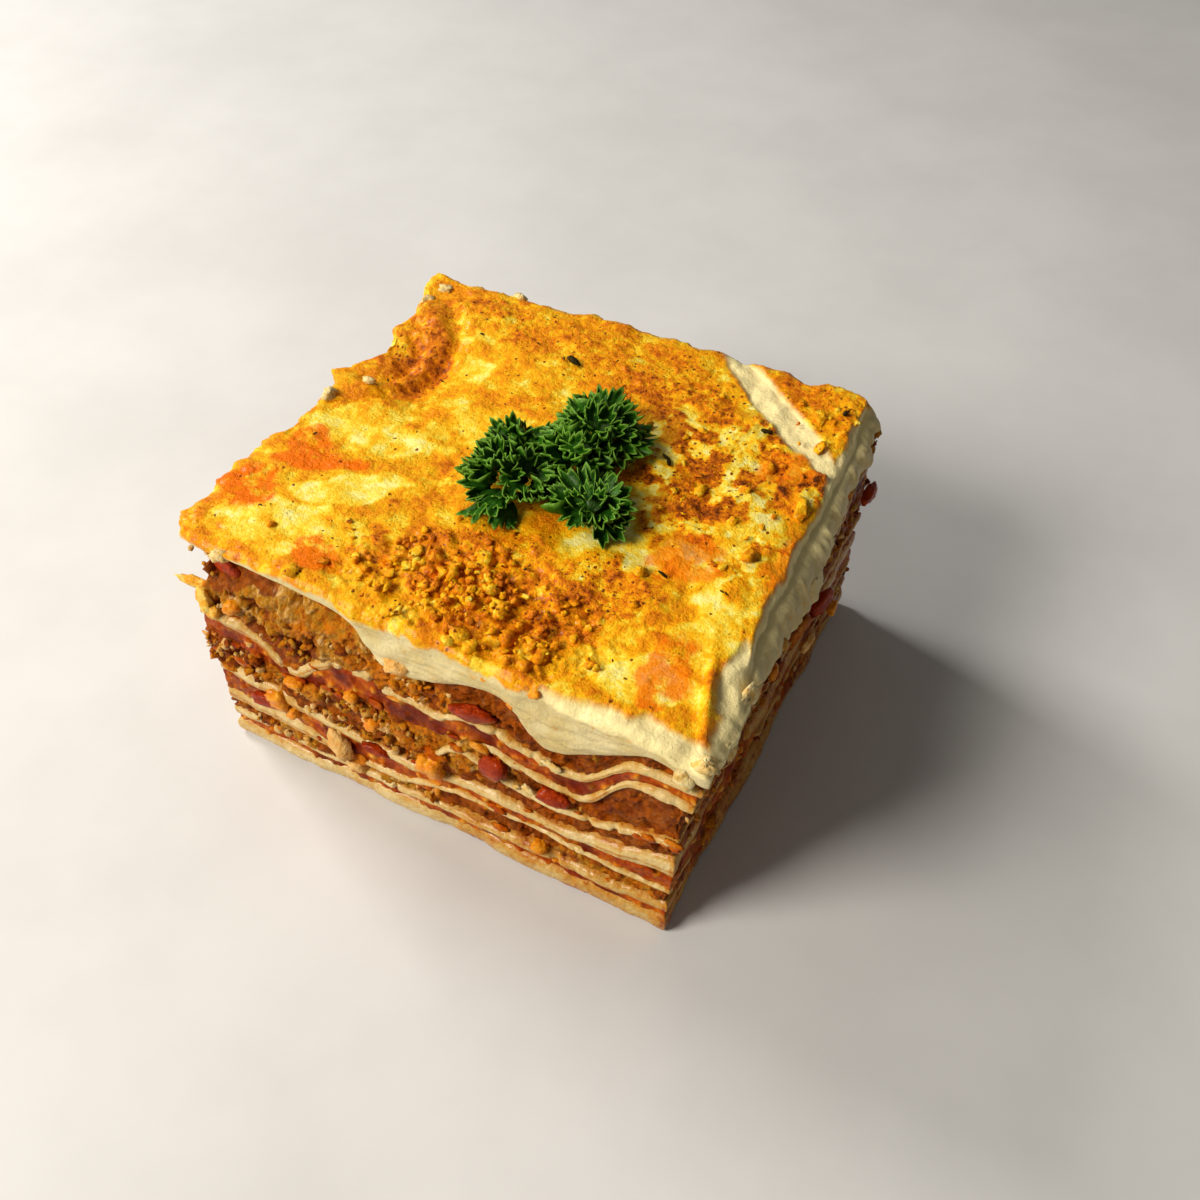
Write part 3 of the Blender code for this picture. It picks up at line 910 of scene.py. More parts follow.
def meat_proud(along, back, z):
    """Meat keeps back under the crust at the left end of the cut face, and between
    the sheets at its right end."""
    shade = smooth_step((z - 50.0) / 9.0) * (1.0 - smooth_step((along - 33.0) / 6.0))
    between_sheets = smooth_step((along - 48.0) / 24.0)
    return 0.1 - (2.4 * shade + 0.4 * between_sheets) * front_share(back)


def sauce_proud(along, back, z):
    """Sauce lies a little behind the pasta's edges."""
    return np.full_like(along, -0.4)


# %% Make the sheets and fillings
for number in range(SHEET_COUNT):
    sheet = layer_shell(f"pasta_edge_{number + 1}", 2 * number, rows=10, rounding=1.1, power=2.4,
                        proud=pasta_proud(number), relief=pasta_relief)
    publish(sheet, PASTA, f"pasta_sheet_{number + 1}")

KINDS = {"red": (sauce_proud, sauce_relief, RED, "red_sauce"),
         "meat": (meat_proud, meat_relief, MEAT, "meat_sauce")}
FILLINGS = ("red", "meat", "red", "meat", "meat", "red", "meat")
FILLING_ROWS = (8, 14, 16, 20, 30, 26, 44)
for number, (kind, rows) in enumerate(zip(FILLINGS, FILLING_ROWS)):
    proud, relief, material, slot = KINDS[kind]
    filling = layer_shell(f"{kind}_layer_{number + 1}", 2 * number + 1, rows, rounding=0.7, power=6.0,
                          proud=proud, relief=relief)
    publish(filling, material, f"filling_{number + 1}")

# %% [markdown]
# ## White sauce and crust
#
# This piece is seen from above, so its top is a plain grid over the whole slice with
# a point every 0.4 millimetres. The grid's rim then runs down the cut sides in rows,
# and a fan closes the underside, which rests on the meat and never shows. The masks
# are worked out first, because both the relief and the colour follow them.

# %% Fields of the crust
TOP_COLUMNS = 246
TOP_ROWS = 230
SIDE_ROWS = 40


def patch(along, back, place, reach, turn, ragged, seed):
    """1 inside an ellipse with an uneven edge, 0 outside: a soft step of its distance,
    shaken by noise."""
    dx, dy = along - place[0], back - place[1]
    c, s = math.cos(math.radians(turn)), math.sin(math.radians(turn))
    far = np.hypot((dx * c + dy * s) / reach[0], (dy * c - dx * s) / reach[1])
    far = far + ragged * fractal(along, back, 0.0, 5.0, 100 + seed, 4)
    return smooth_step((1.0 - far) / 0.3)


def patches(along, back, table, seed):
    """The greatest of several patches: (strength, place, reach, turn, raggedness)."""
    total = np.zeros_like(along)
    for step, (strength, place, reach, turn, ragged) in enumerate(table):
        total = np.maximum(total, strength * patch(along, back, place, reach, turn, ragged, seed + step))
    return total


BROWN_PATCHES = (
    (1.0, (78, 56), (17, 16), 20, 0.8), (0.8, (62, 74), (12, 7), 0, 0.8), (0.62, (54, 15), (21, 12), 0, 0.7),
    (0.8, (70, 24), (9, 6), 20, 0.6), (0.7, (8, 66), (7, 12), 20, 0.5), (0.5, (88, 84), (12, 8), 20, 0.6),
    (0.45, (38, 82), (38, 7), 0, 0.7), (0.5, (60, 84), (6, 4), 0, 0.5), (0.45, (86, 66), (5, 6), 0, 0.6),
)
CREAM_PATCHES = (
    (1.0, (20, 23), (9, 4), 35, 0.6), (1.0, (70, 34), (7, 4), -30, 0.7), (0.8, (65, 28), (4, 5), 0, 0.6),
    (0.7, (18, 11), (12, 6), 20, 0.9), (0.7, (17, 42), (9, 6), 0, 0.9), (0.9, (84, 9), (9, 5), 0, 0.8),
    (0.8, (90, 24), (6, 7), 0, 0.8), (0.8, (69, 43), (6, 8), 10, 0.8), (0.8, (23, 66), (6, 3), -50, 0.6),
    (0.8, (16, 79), (5, 4), 0, 0.6), (0.7, (52, 82), (6, 4), 0, 0.7), (0.7, (80, 62), (12, 5), 30, 1.0),
    (0.6, (8, 40), (6, 8), 0, 0.8), (0.6, (33, 50), (10, 7), 0, 0.9), (0.6, (86, 46), (8, 6), 0, 0.9),
)
OIL_PATCHES = (
    (1.0, (6, 17), (5, 7), 10, 0.6), (1.0, (11, 28), (8, 3.2), 20, 0.6), (0.9, (7, 31), (4, 5), 0, 0.6),
    (0.9, (25, 7), (5, 3.2), -25, 0.5), (0.7, (80, 35), (7, 5), 30, 0.7), (0.6, (88, 65), (5, 5), 0, 0.7),
    (0.6, (97, 38), (4, 8), 0, 0.7), (0.5, (50, 14), (6, 4), 0, 0.7), (0.8, (86, 12), (4, 6), 0, 0.8),
)
BARE_PATCHES = ((1.0, (79.5, 81), (26, 3.2), -41, 0.36), (1.0, (98, 15), (3.6, 7.5), 12, 0.5),
                (1.0, (97, 1), (7, 2.2), 0, 0.6))


def crust_fields(along, back):
    """How baked the crust is, and masks: where it is brown, cream, oily or torn off.
    The rims at the front's right end and at the right are torn too. Baking starts at
    0.43, rises where it is brown and falls where it is cream; cream also shows as a
    net in the speckled part and as flecks elsewhere."""
    brown = patches(along, back, BROWN_PATCHES, 0)
    cream = patches(along, back, CREAM_PATCHES, 20)
    oily = patches(along, back, OIL_PATCHES, 40)
    bare = patches(along, back, BARE_PATCHES, 60)
    uneven = fractal(along, back, 0.0, 4.0, 73, 3)
    from_front = back - 2.8 * smooth_step((along - 80.0) / 14.0) * (1.0 + 0.9 * uneven)
    from_right = FACE_LENGTH - along - 1.2 - 1.6 * uneven
    bare = np.maximum(bare, smooth_step(0.5 - from_front / 1.2) * (along > 70))
    bare = np.maximum(bare, smooth_step(0.5 - from_right / 1.2))
    slow = fractal(along, back, 0.0, 12.0, 70, 3)
    speckled = patch(along, back, (80, 54), (20, 26), turn=15, ragged=0.4, seed=18)
    net = speckled * smooth_step((fractal(along, back, 0.0, 3.6, 77, 4) - 0.08) / 0.16)
    flecked = smooth_step((fractal(along, back, 0.0, 2.6, 78, 4) - 0.3) / 0.14) * (1.0 - speckled)
    bake_and_shade = 0.43 + (0.2 + 0.1 * speckled) * brown - 0.27 * cream * (1.0 - 0.5 * brown) + 0.1 * slow
    bake_and_shade = bake_and_shade + (0.1 - bake_and_shade) * (0.85 * net + 0.45 * flecked * (1.0 - 0.6 * brown))
    return np.clip(bake_and_shade, 0.05, 0.95), brown * (1.0 - 0.35 * net), cream, oily, bare


# %% Relief of the crust
def crust_relief(along, back, brown, cream, bare):
    """Blisters are rounded cells and grains are smaller ones, both stronger where it
    is brown; one stretch is crumbly; a torn stretch lies lower and is smoother; folds
    ring the dent; the crust curls up at one place and has a crack near the front.
    Returns the height and a darkening: painted shade in the crack, the crumbly
    crevices and the fold troughs, and the real brown of the curled lip."""
    bend = 2.2 * fractal(along, back, 0.0, 4.0, 85)
    far, _, owner = cells(along + bend, back + bend, 0.3, 3.6, 81)
    blister = np.clip(0.6 - far, 0, 1) * (0.3 + owner)
    small, _, small_owner = cells(along - bend, back + bend, 0.4, 1.7, 86)
    grain = np.clip(0.6 - small, 0, 1) * (0.3 + small_owner)
    rough = fractal(along, back, 0.0, 6.0, 83, 5)
    height = (0.3 + 0.8 * brown) * blister + (0.25 + 0.75 * brown) * grain
    height = height * (1.0 - 0.7 * cream) + 0.8 * rough * (1.0 - 0.4 * cream)
    crumbly = patch(along, back, (53, 11), (24, 10), turn=0, ragged=0.5, seed=17)
    lump, lump_gap, lump_owner = cells(along + 1.5 * bend, back - bend, 0.2, 2.8, 87)
    height = height + crumbly * (1.3 * np.clip(0.55 - lump, 0, 1) * (0.3 + lump_owner) + 0.8 * grain - 0.3)
    crevice = crumbly * np.clip(1.0 - lump_gap * 4.0, 0, 1)
    dx, dy = along - 2.0, back - 66.0
    ring = np.hypot(dx, dy * 0.7)
    folds = 0.9 * np.sin(ring * 0.8 + 2.5 * rough) * bump((ring - 10.0) / 6.0) * smooth_step(dx / 6.0)
    torn = 0.7 * fractal(along, back, 0.0, 3.5, 88, 3)
    height = height * (1.0 - 0.85 * bare) - (0.6 - torn) * bare + folds
    curl = bump((along - 93.5 + 0.25 * (back - 10.0) + rough) / 0.9) * bump((back - 11.0) / 6.0)
    height = height + 1.9 * curl
    crack = bump((along - 61.5 - 0.35 * (back - 8) + 1.2 * rough) / 0.4)
    crack = crack * smooth_step((back - 5.0) / 2.0) * (1.0 - smooth_step((back - 11.0) / 2.0))
    # painted shade: the crack, crevices and fold troughs are darkened; the curl's share is its real brown
    dark = np.clip(crack + 0.2 * crevice + 0.4 * np.clip(-folds, 0, 1) + 0.6 * curl, 0, 1)
    return height - 2.0 * crack - 0.5 * crevice, dark


# %% Shape of the white sauce
def rim_of_grid(rows, columns):
    """Numbers of the grid's outer points in order: front, right, back, left."""
    front = np.arange(columns - 1)
    right = (np.arange(rows - 1) + 1) * columns - 1
    back = rows * columns - 1 - np.arange(columns - 1)
    left = (rows - 1 - np.arange(rows - 1)) * columns
    return np.concatenate([front, right, back, left])


def ragged_edge(u, v):
    """How far the crust's rim wanders, in millimetres: more at the left and back."""
    wild = 0.6 + 2.2 * bump(u / 0.06) + 1.6 * bump((1 - v) / 0.06) + 0.8 * bump((1 - u) / 0.06)
    notch = 3.0 * bump(u / 0.06) * bump((v * DEPTH - 66.0) / 5.0)
    spike = 2.5 * bump(u / 0.06) * bump((v * DEPTH - 55.0) / 2.2)
    drawn_in = 2.2 * bump((1 - u) / 0.06) * smooth_step((v - 0.2) / 0.15)
    return wild * fractal(u * 100, v * 92, 0.0, 6.0, 90, 5) - notch + spike - drawn_in


def sag_of_sauce(u, v):
    """How far the white sauce is smeared down over the layers: most on the right."""
    on_right = bump((1 - u) / 0.02) * smooth_step(v / 0.08 - 0.5)
    elsewhere = np.maximum(bump((1 - v) / 0.02), bump(u / 0.02))
    noise = fractal(u * 100, v * 92, 0.0, 7.0, 94, 4)
    droop = 6.0 * bump((v * DEPTH - 48.0) / 7.0)
    return on_right * np.clip(1.5 + 4.0 * noise + droop, 0, 12) + elsewhere * np.clip(3.0 * noise, 0, 5)


def top_of_sauce():
    """The grid of the top: its places, heights and masks; painted shade darkens the
    crevices, folds and crack, and higher places are baked more.
    The rim is pushed outward by ragged_edge, fading over 3 mm, and rounded off."""
    u, v = np.meshgrid(np.linspace(0, 1, TOP_COLUMNS), np.linspace(0, 1, TOP_ROWS))
    along, back = u * FACE_LENGTH, v * DEPTH
    bake_and_shade, brown, cream, oily, bare = crust_fields(along, back)
    height, dark = crust_relief(along, back, brown, cream, bare)
    top = crust_height(along, back)
    x, y = footprint(u, v, top)
    from_edge = np.minimum(np.minimum(u, 1 - u) * LENGTH, np.minimum(v, 1 - v) * DEPTH)
    push = ragged_edge(u, v) * np.exp(-from_edge / 3.0)
    x = x + push * (2 * u - 1) * bump((1 - np.abs(2 * u - 1)) / 0.2)
    y = y + push * (2 * v - 1) * bump((1 - np.abs(2 * v - 1)) / 0.2)
    shoulder = 1.6 * np.exp(-(1 - u) * LENGTH / 1.6) + 0.8 * np.exp(-from_edge / 0.5)
    z = np.minimum(top + height - shoulder, HEIGHT + 2.5)
    # painted shade: the crevice darkening is added to the baking level, moving the colour towards brown
    bake_and_shade = np.clip(bake_and_shade + 0.35 * dark + 0.05 * height, 0, 1)
    return u, v, x, y, z, {"bake_and_shade": bake_and_shade, "brown": brown, "oily": oily, "bare": bare}


def side_of_sauce(u, v, rim_x, rim_y, rim_z):
    """Rows from the rim down to the layers: the outline at each height, drawn to the
    rim's own place near the top, moved outward by a swelling with ridges."""
    w = np.linspace(0, 1, SIDE_ROWS + 1)[1:, None]
    low = boundaries(u * FACE_LENGTH, v * DEPTH)[-2] - 0.3 - sag_of_sauce(u, v)
    z = rim_z + (low - rim_z) * w
    x, y = footprint(u[None], v[None], np.maximum(z, low))
    _, _, out_x, out_y = path_round([TOP_COLUMNS - 1, TOP_ROWS - 1, TOP_COLUMNS - 1, TOP_ROWS - 1])
    blend = np.exp(-w * (rim_z - low) / 1.8)
    plain_x, plain_y = footprint(u, v, rim_z)
    on_right = bump((1 - u) / 0.02)
    ridges = 1.3 * fractal(x * 0.3, y * 0.3, z, 2.4, 91, 4) * (1 - on_right)
    ridges = ridges + 2.4 * fractal(x, y, z * 0.35, 2.6, 96, 4) * on_right
    swell = 1.1 * fractal(x, y, z, 10.0, 92, 3)
    thick = np.clip((rim_z - low - 2.0) / 9.0, 0, 1)
    full = np.sqrt(np.clip(1.0 - np.abs(2 * w - 0.9) ** 2.4, 0, 1))
    outward = (0.3 + (0.9 + 1.0 * on_right + ridges + 0.8 * swell) * thick) * full - 1.2 * (w > 0.999)
    side_x = x + (rim_x - plain_x) * blend + out_x * outward
    side_y = y + (rim_y - plain_y) * blend + out_y * outward
    return side_x, side_y, z, low


def white_sauce():
    """Top grid, side rows and underside fan as one closed surface. The side is baked
    down to about half a millimetre below the rim."""
    u, v, x, y, z, masks = top_of_sauce()
    rim = rim_of_grid(TOP_ROWS, TOP_COLUMNS)
    rim_u, rim_v, rim_x, rim_y, rim_z = [grid.ravel()[rim] for grid in (u, v, x, y, z)]
    side_x, side_y, side_z, low = side_of_sauce(rim_u, rim_v, rim_x, rim_y, rim_z)
    top_count, rim_count = TOP_ROWS * TOP_COLUMNS, len(rim)
    points = np.concatenate([np.stack([x, y, z], -1).reshape(-1, 3),
                             np.stack([side_x, side_y, side_z], -1).reshape(-1, 3),
                             [[0.0, 0.0, float(low.mean())]]])
    rows = top_count + np.arange(SIDE_ROWS * rim_count).reshape(SIDE_ROWS, rim_count)
    loops = np.concatenate([rim[None], rows])
    after = np.roll(loops, -1, axis=1)
    sides = np.stack([loops[:-1], loops[1:], after[1:], after[:-1]], -1).reshape(-1, 4)
    faces = [grid_faces(TOP_ROWS, TOP_COLUMNS), sides, fan_faces(loops[-1], len(points) - 1, True)]
    depth_baked = 0.5 + 1.0 * fractal(rim_u * 90, rim_v * 90, 0.0, 2.5, 93, 4)
    baked_side = smooth_step(0.5 + (depth_baked - (rim_z - side_z)) / 0.8)
    fields = {"baked": np.concatenate([np.ones(top_count), baked_side.ravel(), [0.0]])}
    for label, mask in masks.items():
        spread = np.repeat(mask.ravel()[rim][None], SIDE_ROWS, 0).ravel()
        fields[label] = np.concatenate([mask.ravel(), spread, [0.0]])
    return make_piece("white_sauce_with_crust", points, faces, fields)


publish(white_sauce(), CRUST, "bechamel_and_crust")

# %% [markdown]
# ## Crumbs and smears on the cut faces
#
# A knife drags crumbs out of the filling. Each is a small lump: a ball with a few
# dozen faces, stretched, roughened and turned at random. All lumps of one kind are
# one mesh, worked out in a single array of lump by point.


# %% Many lumps in one mesh
def unit_ball(rings, around):
    """Points and faces of a closed ball: a pole, rings and another pole."""
    tilt = np.pi * (np.arange(1, rings) / rings)
    turn = 2 * np.pi * np.arange(around) / around
    ring = np.stack([np.sin(tilt)[:, None] * np.cos(turn), np.sin(tilt)[:, None] * np.sin(turn),
                     -np.cos(tilt)[:, None] + 0 * turn], -1).reshape(-1, 3)
    points = np.concatenate([ring, [[0, 0, -1], [0, 0, 1]]])
    count = (rings - 1) * around
    quads = grid_faces(rings - 1, around, wrap=True)
    fans = [fan_faces(np.arange(around), count, True),
            fan_faces(np.arange(count - around, count), count + 1, False)]
    return points, quads, np.concatenate(fans)


def random_turns(rng, count, most):
    """Random rotation matrices from quaternions; a small `most` keeps them near none."""
    q = rng.normal(size=(count, 4)) * most
    q[:, 0] = np.abs(q[:, 0]) + 3.0 * (1.0 - min(most, 1.0))
    w, x, y, z = (q / np.linalg.norm(q, axis=1, keepdims=True)).T
    rows = [[1 - 2 * (y * y + z * z), 2 * (x * y - z * w), 2 * (x * z + y * w)],
            [2 * (x * y + z * w), 1 - 2 * (x * x + z * z), 2 * (y * z - x * w)],
            [2 * (x * z - y * w), 2 * (y * z + x * w), 1 - 2 * (x * x + y * y)]]
    return np.moveaxis(np.array(rows), -1, 0)


def lumps(name, centres, sizes, seed, rings=6, around=8, uneven=0.3, square=2.0, most=1.0):
    """Each lump is the ball, pushed towards a cube by the norm of power `square`, times
    its three half-axes, times 1 + noise, then turned."""
    rng = np.random.default_rng(seed)
    ball, quads, triangles = unit_ball(rings, around)
    ball = ball / (np.abs(ball) ** square).sum(axis=1, keepdims=True) ** (1.0 / square)
    count = len(centres)
    own = np.arange(count)[:, None] * 17.0
    bx, by, bz = ball.T[:, None] * 1.6
    rolling = fractal(bx + own, by, bz, 1.0, seed)
    shake = 1.0 + uneven * (1.4 * rolling + 0.4 * rng.uniform(-1, 1, (count, len(ball))))
    shaped = ball[None] * sizes[:, None, :] * shake[..., None]
    points = np.einsum("nij,npj->npi", random_turns(rng, count, most), shaped) + centres[:, None, :]
    faces = [repeated(quads, count, len(ball)), repeated(triangles, count, len(ball))]
    tone = np.repeat(rng.uniform(0, 1, count), len(ball))
    return make_piece(name, points, faces, {"grain": tone, "wet": 0.3 * tone})


# %% Crumbs of meat on the cut sides
def on_side(u, v, z, out):
    """A place on the cut side: the outline at that height, moved outward."""
    x, y = footprint(u, v, z)
    side_x = np.where(u >= 1, 1.0, np.where(u <= 0, -1.0, 0.0))
    side_y = np.where(v >= 1, 1.0, np.where(v <= 0, -1.0, 0.0))
    return np.stack([x + side_x * out, y + side_y * out, z], -1)


def random_sides(rng, count, front_part):
    """Random u and v on the slice's rim, with a given part of them on the front."""
    way = rng.uniform(0, 1, count)
    side = np.where(rng.uniform(0, 1, count) < front_part, 0, rng.integers(1, 4, count))
    u = np.select([side == 0, side == 1, side == 2], [way, np.ones(count), way], 0.0)
    v = np.select([side == 0, side == 1, side == 2], [np.zeros(count), way, np.ones(count)], way)
    return u, v


def in_layers(rng, count, layers, share, spread):
    """Random places on the cut sides inside the given layers, and the room they have."""
    u, v = random_sides(rng, count, front_part=0.45)
    levels = boundaries(u * FACE_LENGTH, v * DEPTH)
    layer = rng.choice(len(layers), count, p=share)
    low = np.choose(layer, [levels[number] for number in layers])
    high = np.choose(layer, [levels[number + 1] for number in layers])
    z = low + (high - low) * rng.uniform(spread[0], spread[1], count)
    return u, v, z, high - low


MEAT_LAYERS = (3, 7, 9, 13)
UPPER_SHEETS = (2, 4, 6, 8, 10, 12)


def crumbs():
    """Grains in the meat layers, most in the thick ones, sunk into them: deeper under
    the crust at the left of the front, and at its right, where fewer are kept."""
    rng = np.random.default_rng(5)
    u, v, z, room = in_layers(rng, 1700, MEAT_LAYERS, share=(0.1, 0.2, 0.3, 0.4), spread=(0.05, 0.95))
    keep = (room > 1.4) & ((u < 0.5) | (v > 0.01) | (rng.uniform(0, 1, len(u)) < 0.2))
    back_in = 2.4 * (z > 46) * (u < 0.36) + 1.6 * (u > 0.55)
    out = rng.uniform(-0.7, 0.2, len(u)) - back_in * (v < 0.01)
    centres = on_side(u, v, z, out)[keep]
    sizes = np.exp(rng.normal(-0.65, 0.35, (keep.sum(), 1))) * rng.uniform(0.5, 1.5, (keep.sum(), 3))
    return lumps("meat_crumbs", centres, np.clip(sizes, 0.2, 1.3), seed=6, rings=5, around=7, uneven=0.55)


def sauce_smears():
    """Flat dabs of red sauce and oil pressed over the pasta's edges."""
    rng = np.random.default_rng(8)
    share = (0.15, 0.17, 0.17, 0.17, 0.17, 0.17)
    u, v, z, _ = in_layers(rng, 130, UPPER_SHEETS, share, spread=(0.0, 1.0))
    centres = on_side(u, v, z, rng.uniform(-0.4, -0.1, len(u)))
    wide = np.exp(rng.normal(0.0, 0.4, (len(u), 1)))
    side = ((u <= 0) | (u >= 1))[:, None]
    sizes = np.where(side, wide * [0.35, 1.2, 0.6], wide * [1.2, 0.35, 0.6])
    return lumps("sauce_smears", centres, sizes, seed=9, uneven=0.4, most=0.12)


publish(crumbs(), MEAT)
publish(sauce_smears(), RED)

# %% [markdown]
# ## Single bits in the cut face
#
# Some pieces are large enough to be seen one by one: diced carrot, a glob of tomato,
# a chunk of onion, shreds of cheese. Each row of a table gives where a bit sits and
# its three half-axes. Diced things take a higher power, which squares them off.


# %% Bits on the cut faces
def bits(name, rows, material, seed, square=2.0, uneven=0.3, most=0.25):
    """A few larger lumps from rows of (x, y, z, half-axes)."""
    rows = np.array(rows, float)
    piece = lumps(name, rows[:, :3], rows[:, 3:], seed, 12, 18, uneven, square, most)
    return publish(piece, material)


bits("carrot_dice", (
    (-36.5, FRONT_Y, 19, 2.2, 1.6, 2.4), (-33.5, FRONT_Y, 16.5, 1.2, 1.2, 1.3),
    (-1.5, FRONT_Y, 20.5, 2.5, 2.0, 3.2), (-31.0, FRONT_Y, 27.0, 1.8, 1.2, 1.0),
    (-14.0, FRONT_Y, 25.0, 1.2, 1.0, 1.6), (-17.5, FRONT_Y, 31.0, 1.3, 1.0, 1.1),
    (20.6, FRONT_Y, 9.6, 1.5, 1.4, 1.2), (-3.0, FRONT_Y + 0.6, 53.4, 1.4, 0.7, 0.6),
    (21.0, FRONT_Y, 55.0, 1.6, 0.7, 0.7), (12.5, FRONT_Y, 54.0, 0.8, 0.6, 0.5),
    (17.0, FRONT_Y, 50.0, 0.8, 0.6, 0.7), (-41.0, FRONT_Y, 43.0, 1.6, 1.4, 1.3),
    (48.5, -10.0, 37.0, 0.8, 1.6, 1.2), (50.0, 20.0, 25.0, 0.8, 1.5, 1.3),
    (10.0, 46.0, 22.0, 1.6, 0.8, 1.2), (-25.0, 42.0, 34.0, 1.8, 0.8, 1.3),
    (-51.0, 5.0, 30.0, 0.8, 1.6, 1.4), (-50.5, 25.0, 18.0, 0.8, 1.5, 1.2),
), CARROT, seed=31, square=3.5, uneven=0.22)
bits("cheese_shreds", (
    (-50.0, FRONT_Y + 0.6, 44.6, 3.4, 0.9, 0.9), (-48.0, FRONT_Y + 0.2, 41.6, 1.2, 1.1, 3.0),
    (-46.6, FRONT_Y, 38.6, 1.5, 1.1, 1.8),
), CHEESE, seed=35, square=2.6, most=0.12)
bits("onion_chunks", (
    (-23.0, FRONT_Y - 0.3, 13.5, 2.2, 1.6, 3.6), (-5.0, FRONT_Y - 0.4, 47.5, 2.4, 1.4, 1.6),
    (-40.5, FRONT_Y + 1.0, 33.0, 1.2, 1.0, 1.1), (-20.0, FRONT_Y, 8.0, 1.8, 1.2, 1.4),
    (50.0, 5.0, 30.0, 0.8, 2.2, 1.6), (30.0, 46.2, 40.0, 2.2, 0.8, 1.8), (-50.5, -12.0, 22.0, 0.8, 2.2, 1.8),
), ONION, seed=32, square=2.4)
bits("tomato_globs", (
    (12.0, FRONT_Y, 29.0, 3.2, 1.4, 2.4), (24.0, FRONT_Y, 28.0, 3.2, 1.2, 1.8),
    (-43.0, FRONT_Y + 3.2, 51.0, 3.6, 1.6, 2.8), (-39.0, FRONT_Y, 16.6, 4.2, 1.0, 1.6),
    (-14.0, FRONT_Y, 17.0, 3.2, 1.0, 1.5), (9.0, FRONT_Y, 42.5, 4.0, 1.2, 2.2),
    (49.5, 12.0, 34.0, 1.2, 3.6, 2.2), (49.0, 36.0, 42.0, 1.2, 3.2, 2.0),
    (-8.0, 46.0, 28.0, 3.4, 1.2, 2.0), (-50.0, 16.0, 42.0, 1.2, 3.4, 2.0),
), TOMATO, seed=33, square=2.2, uneven=0.2)

# %% [markdown]
# ## Parsley
#
# Curly parsley is many small fans, each with three lobes and sharp teeth, cupped and
# crimped. One fan is a surface of two parameters: the angle across it and the way
# out from its stalk. Fans sit on a spiral round each head, and three large heads
# with two small ones between them make the sprig.


# %% One fan, and many of them
LEAF_COLUMNS = 37
# each head: x, y, reach and its number of leaves
PARSLEY_HEADS = ((-3.0, -9.5, 11.0, 26), (4.8, 8.0, 9.5, 22), (12.6, -9.8, 7.8, 14), (4.5, -0.5, 8.0, 14),
                 (-6.5, -2.0, 6.0, 8))


def peaks(across, count):
    """A saw of `count` sharp peaks as across goes from -1 to 1: 1 on each peak."""
    step = (across + 1.0) / 2.0 * count
    return 1.0 - np.abs(2.0 * (step - np.floor(step)) - 1.0)


def fan_points(rng, count):
    """A leaf with three lobes and nine teeth: its outline is 0.56 + 0.28 lobe + 0.16
    tooth of its size, less towards its sides. It is cupped by the square of the way
    out, folded along each lobe and turned up at its margin."""
    way = np.array([0.08, 0.3, 0.52, 0.72, 0.88, 1.0])[None, :, None]
    across = np.linspace(-1.0, 1.0, LEAF_COLUMNS)[None, None, :]
    size = rng.uniform(5.4, 8.0, (count, 1, 1))
    lobe = peaks(across, 3) ** 0.6
    tooth = peaks(across, 9) ** 0.8
    outline = 0.56 + 0.28 * lobe + 0.16 * tooth - 0.12 * across ** 2
    reach = way * (1.0 + (outline - 1.0) * way ** 1.5) * size
    angle = 1.25 * across * (1.0 - 0.25 * way)
    cup = rng.uniform(-0.3, 0.25, (count, 1, 1)) * way ** 2
    fold = -0.12 * way * lobe
    wave = 0.07 * way ** 2 * np.cos(4.0 * np.pi * across + rng.uniform(0, 6, (count, 1, 1)))
    margin_up = 0.09 * way ** 8
    side_curl = rng.uniform(-0.1, 0.35, (count, 1, 1)) * way ** 2 * across ** 2
    x = reach * np.cos(angle)
    y = reach * np.sin(angle)
    z = (cup + fold + wave + margin_up + side_curl) * size
    shape = np.broadcast(x, y, z).shape
    # painted highlight: the margin mask lightens the curled edge, where light catches it
    margin = np.broadcast_to(0.75 * smooth_step((way - 0.97) / 0.08), shape)
    vein = np.broadcast_to(0.7 * bump((1.0 - peaks(across, 3)) / 0.08) * way, shape)
    return np.stack(np.broadcast_arrays(x, y, z), -1), margin, vein


def turned(points, angle, first, second):
    """Rotate by the angle in the plane of two axes."""
    c, s = np.cos(angle)[:, None, None], np.sin(angle)[:, None, None]
    a, b = points[..., first].copy(), points[..., second].copy()
    points[..., first] = a * c - b * s
    points[..., second] = a * s + b * c


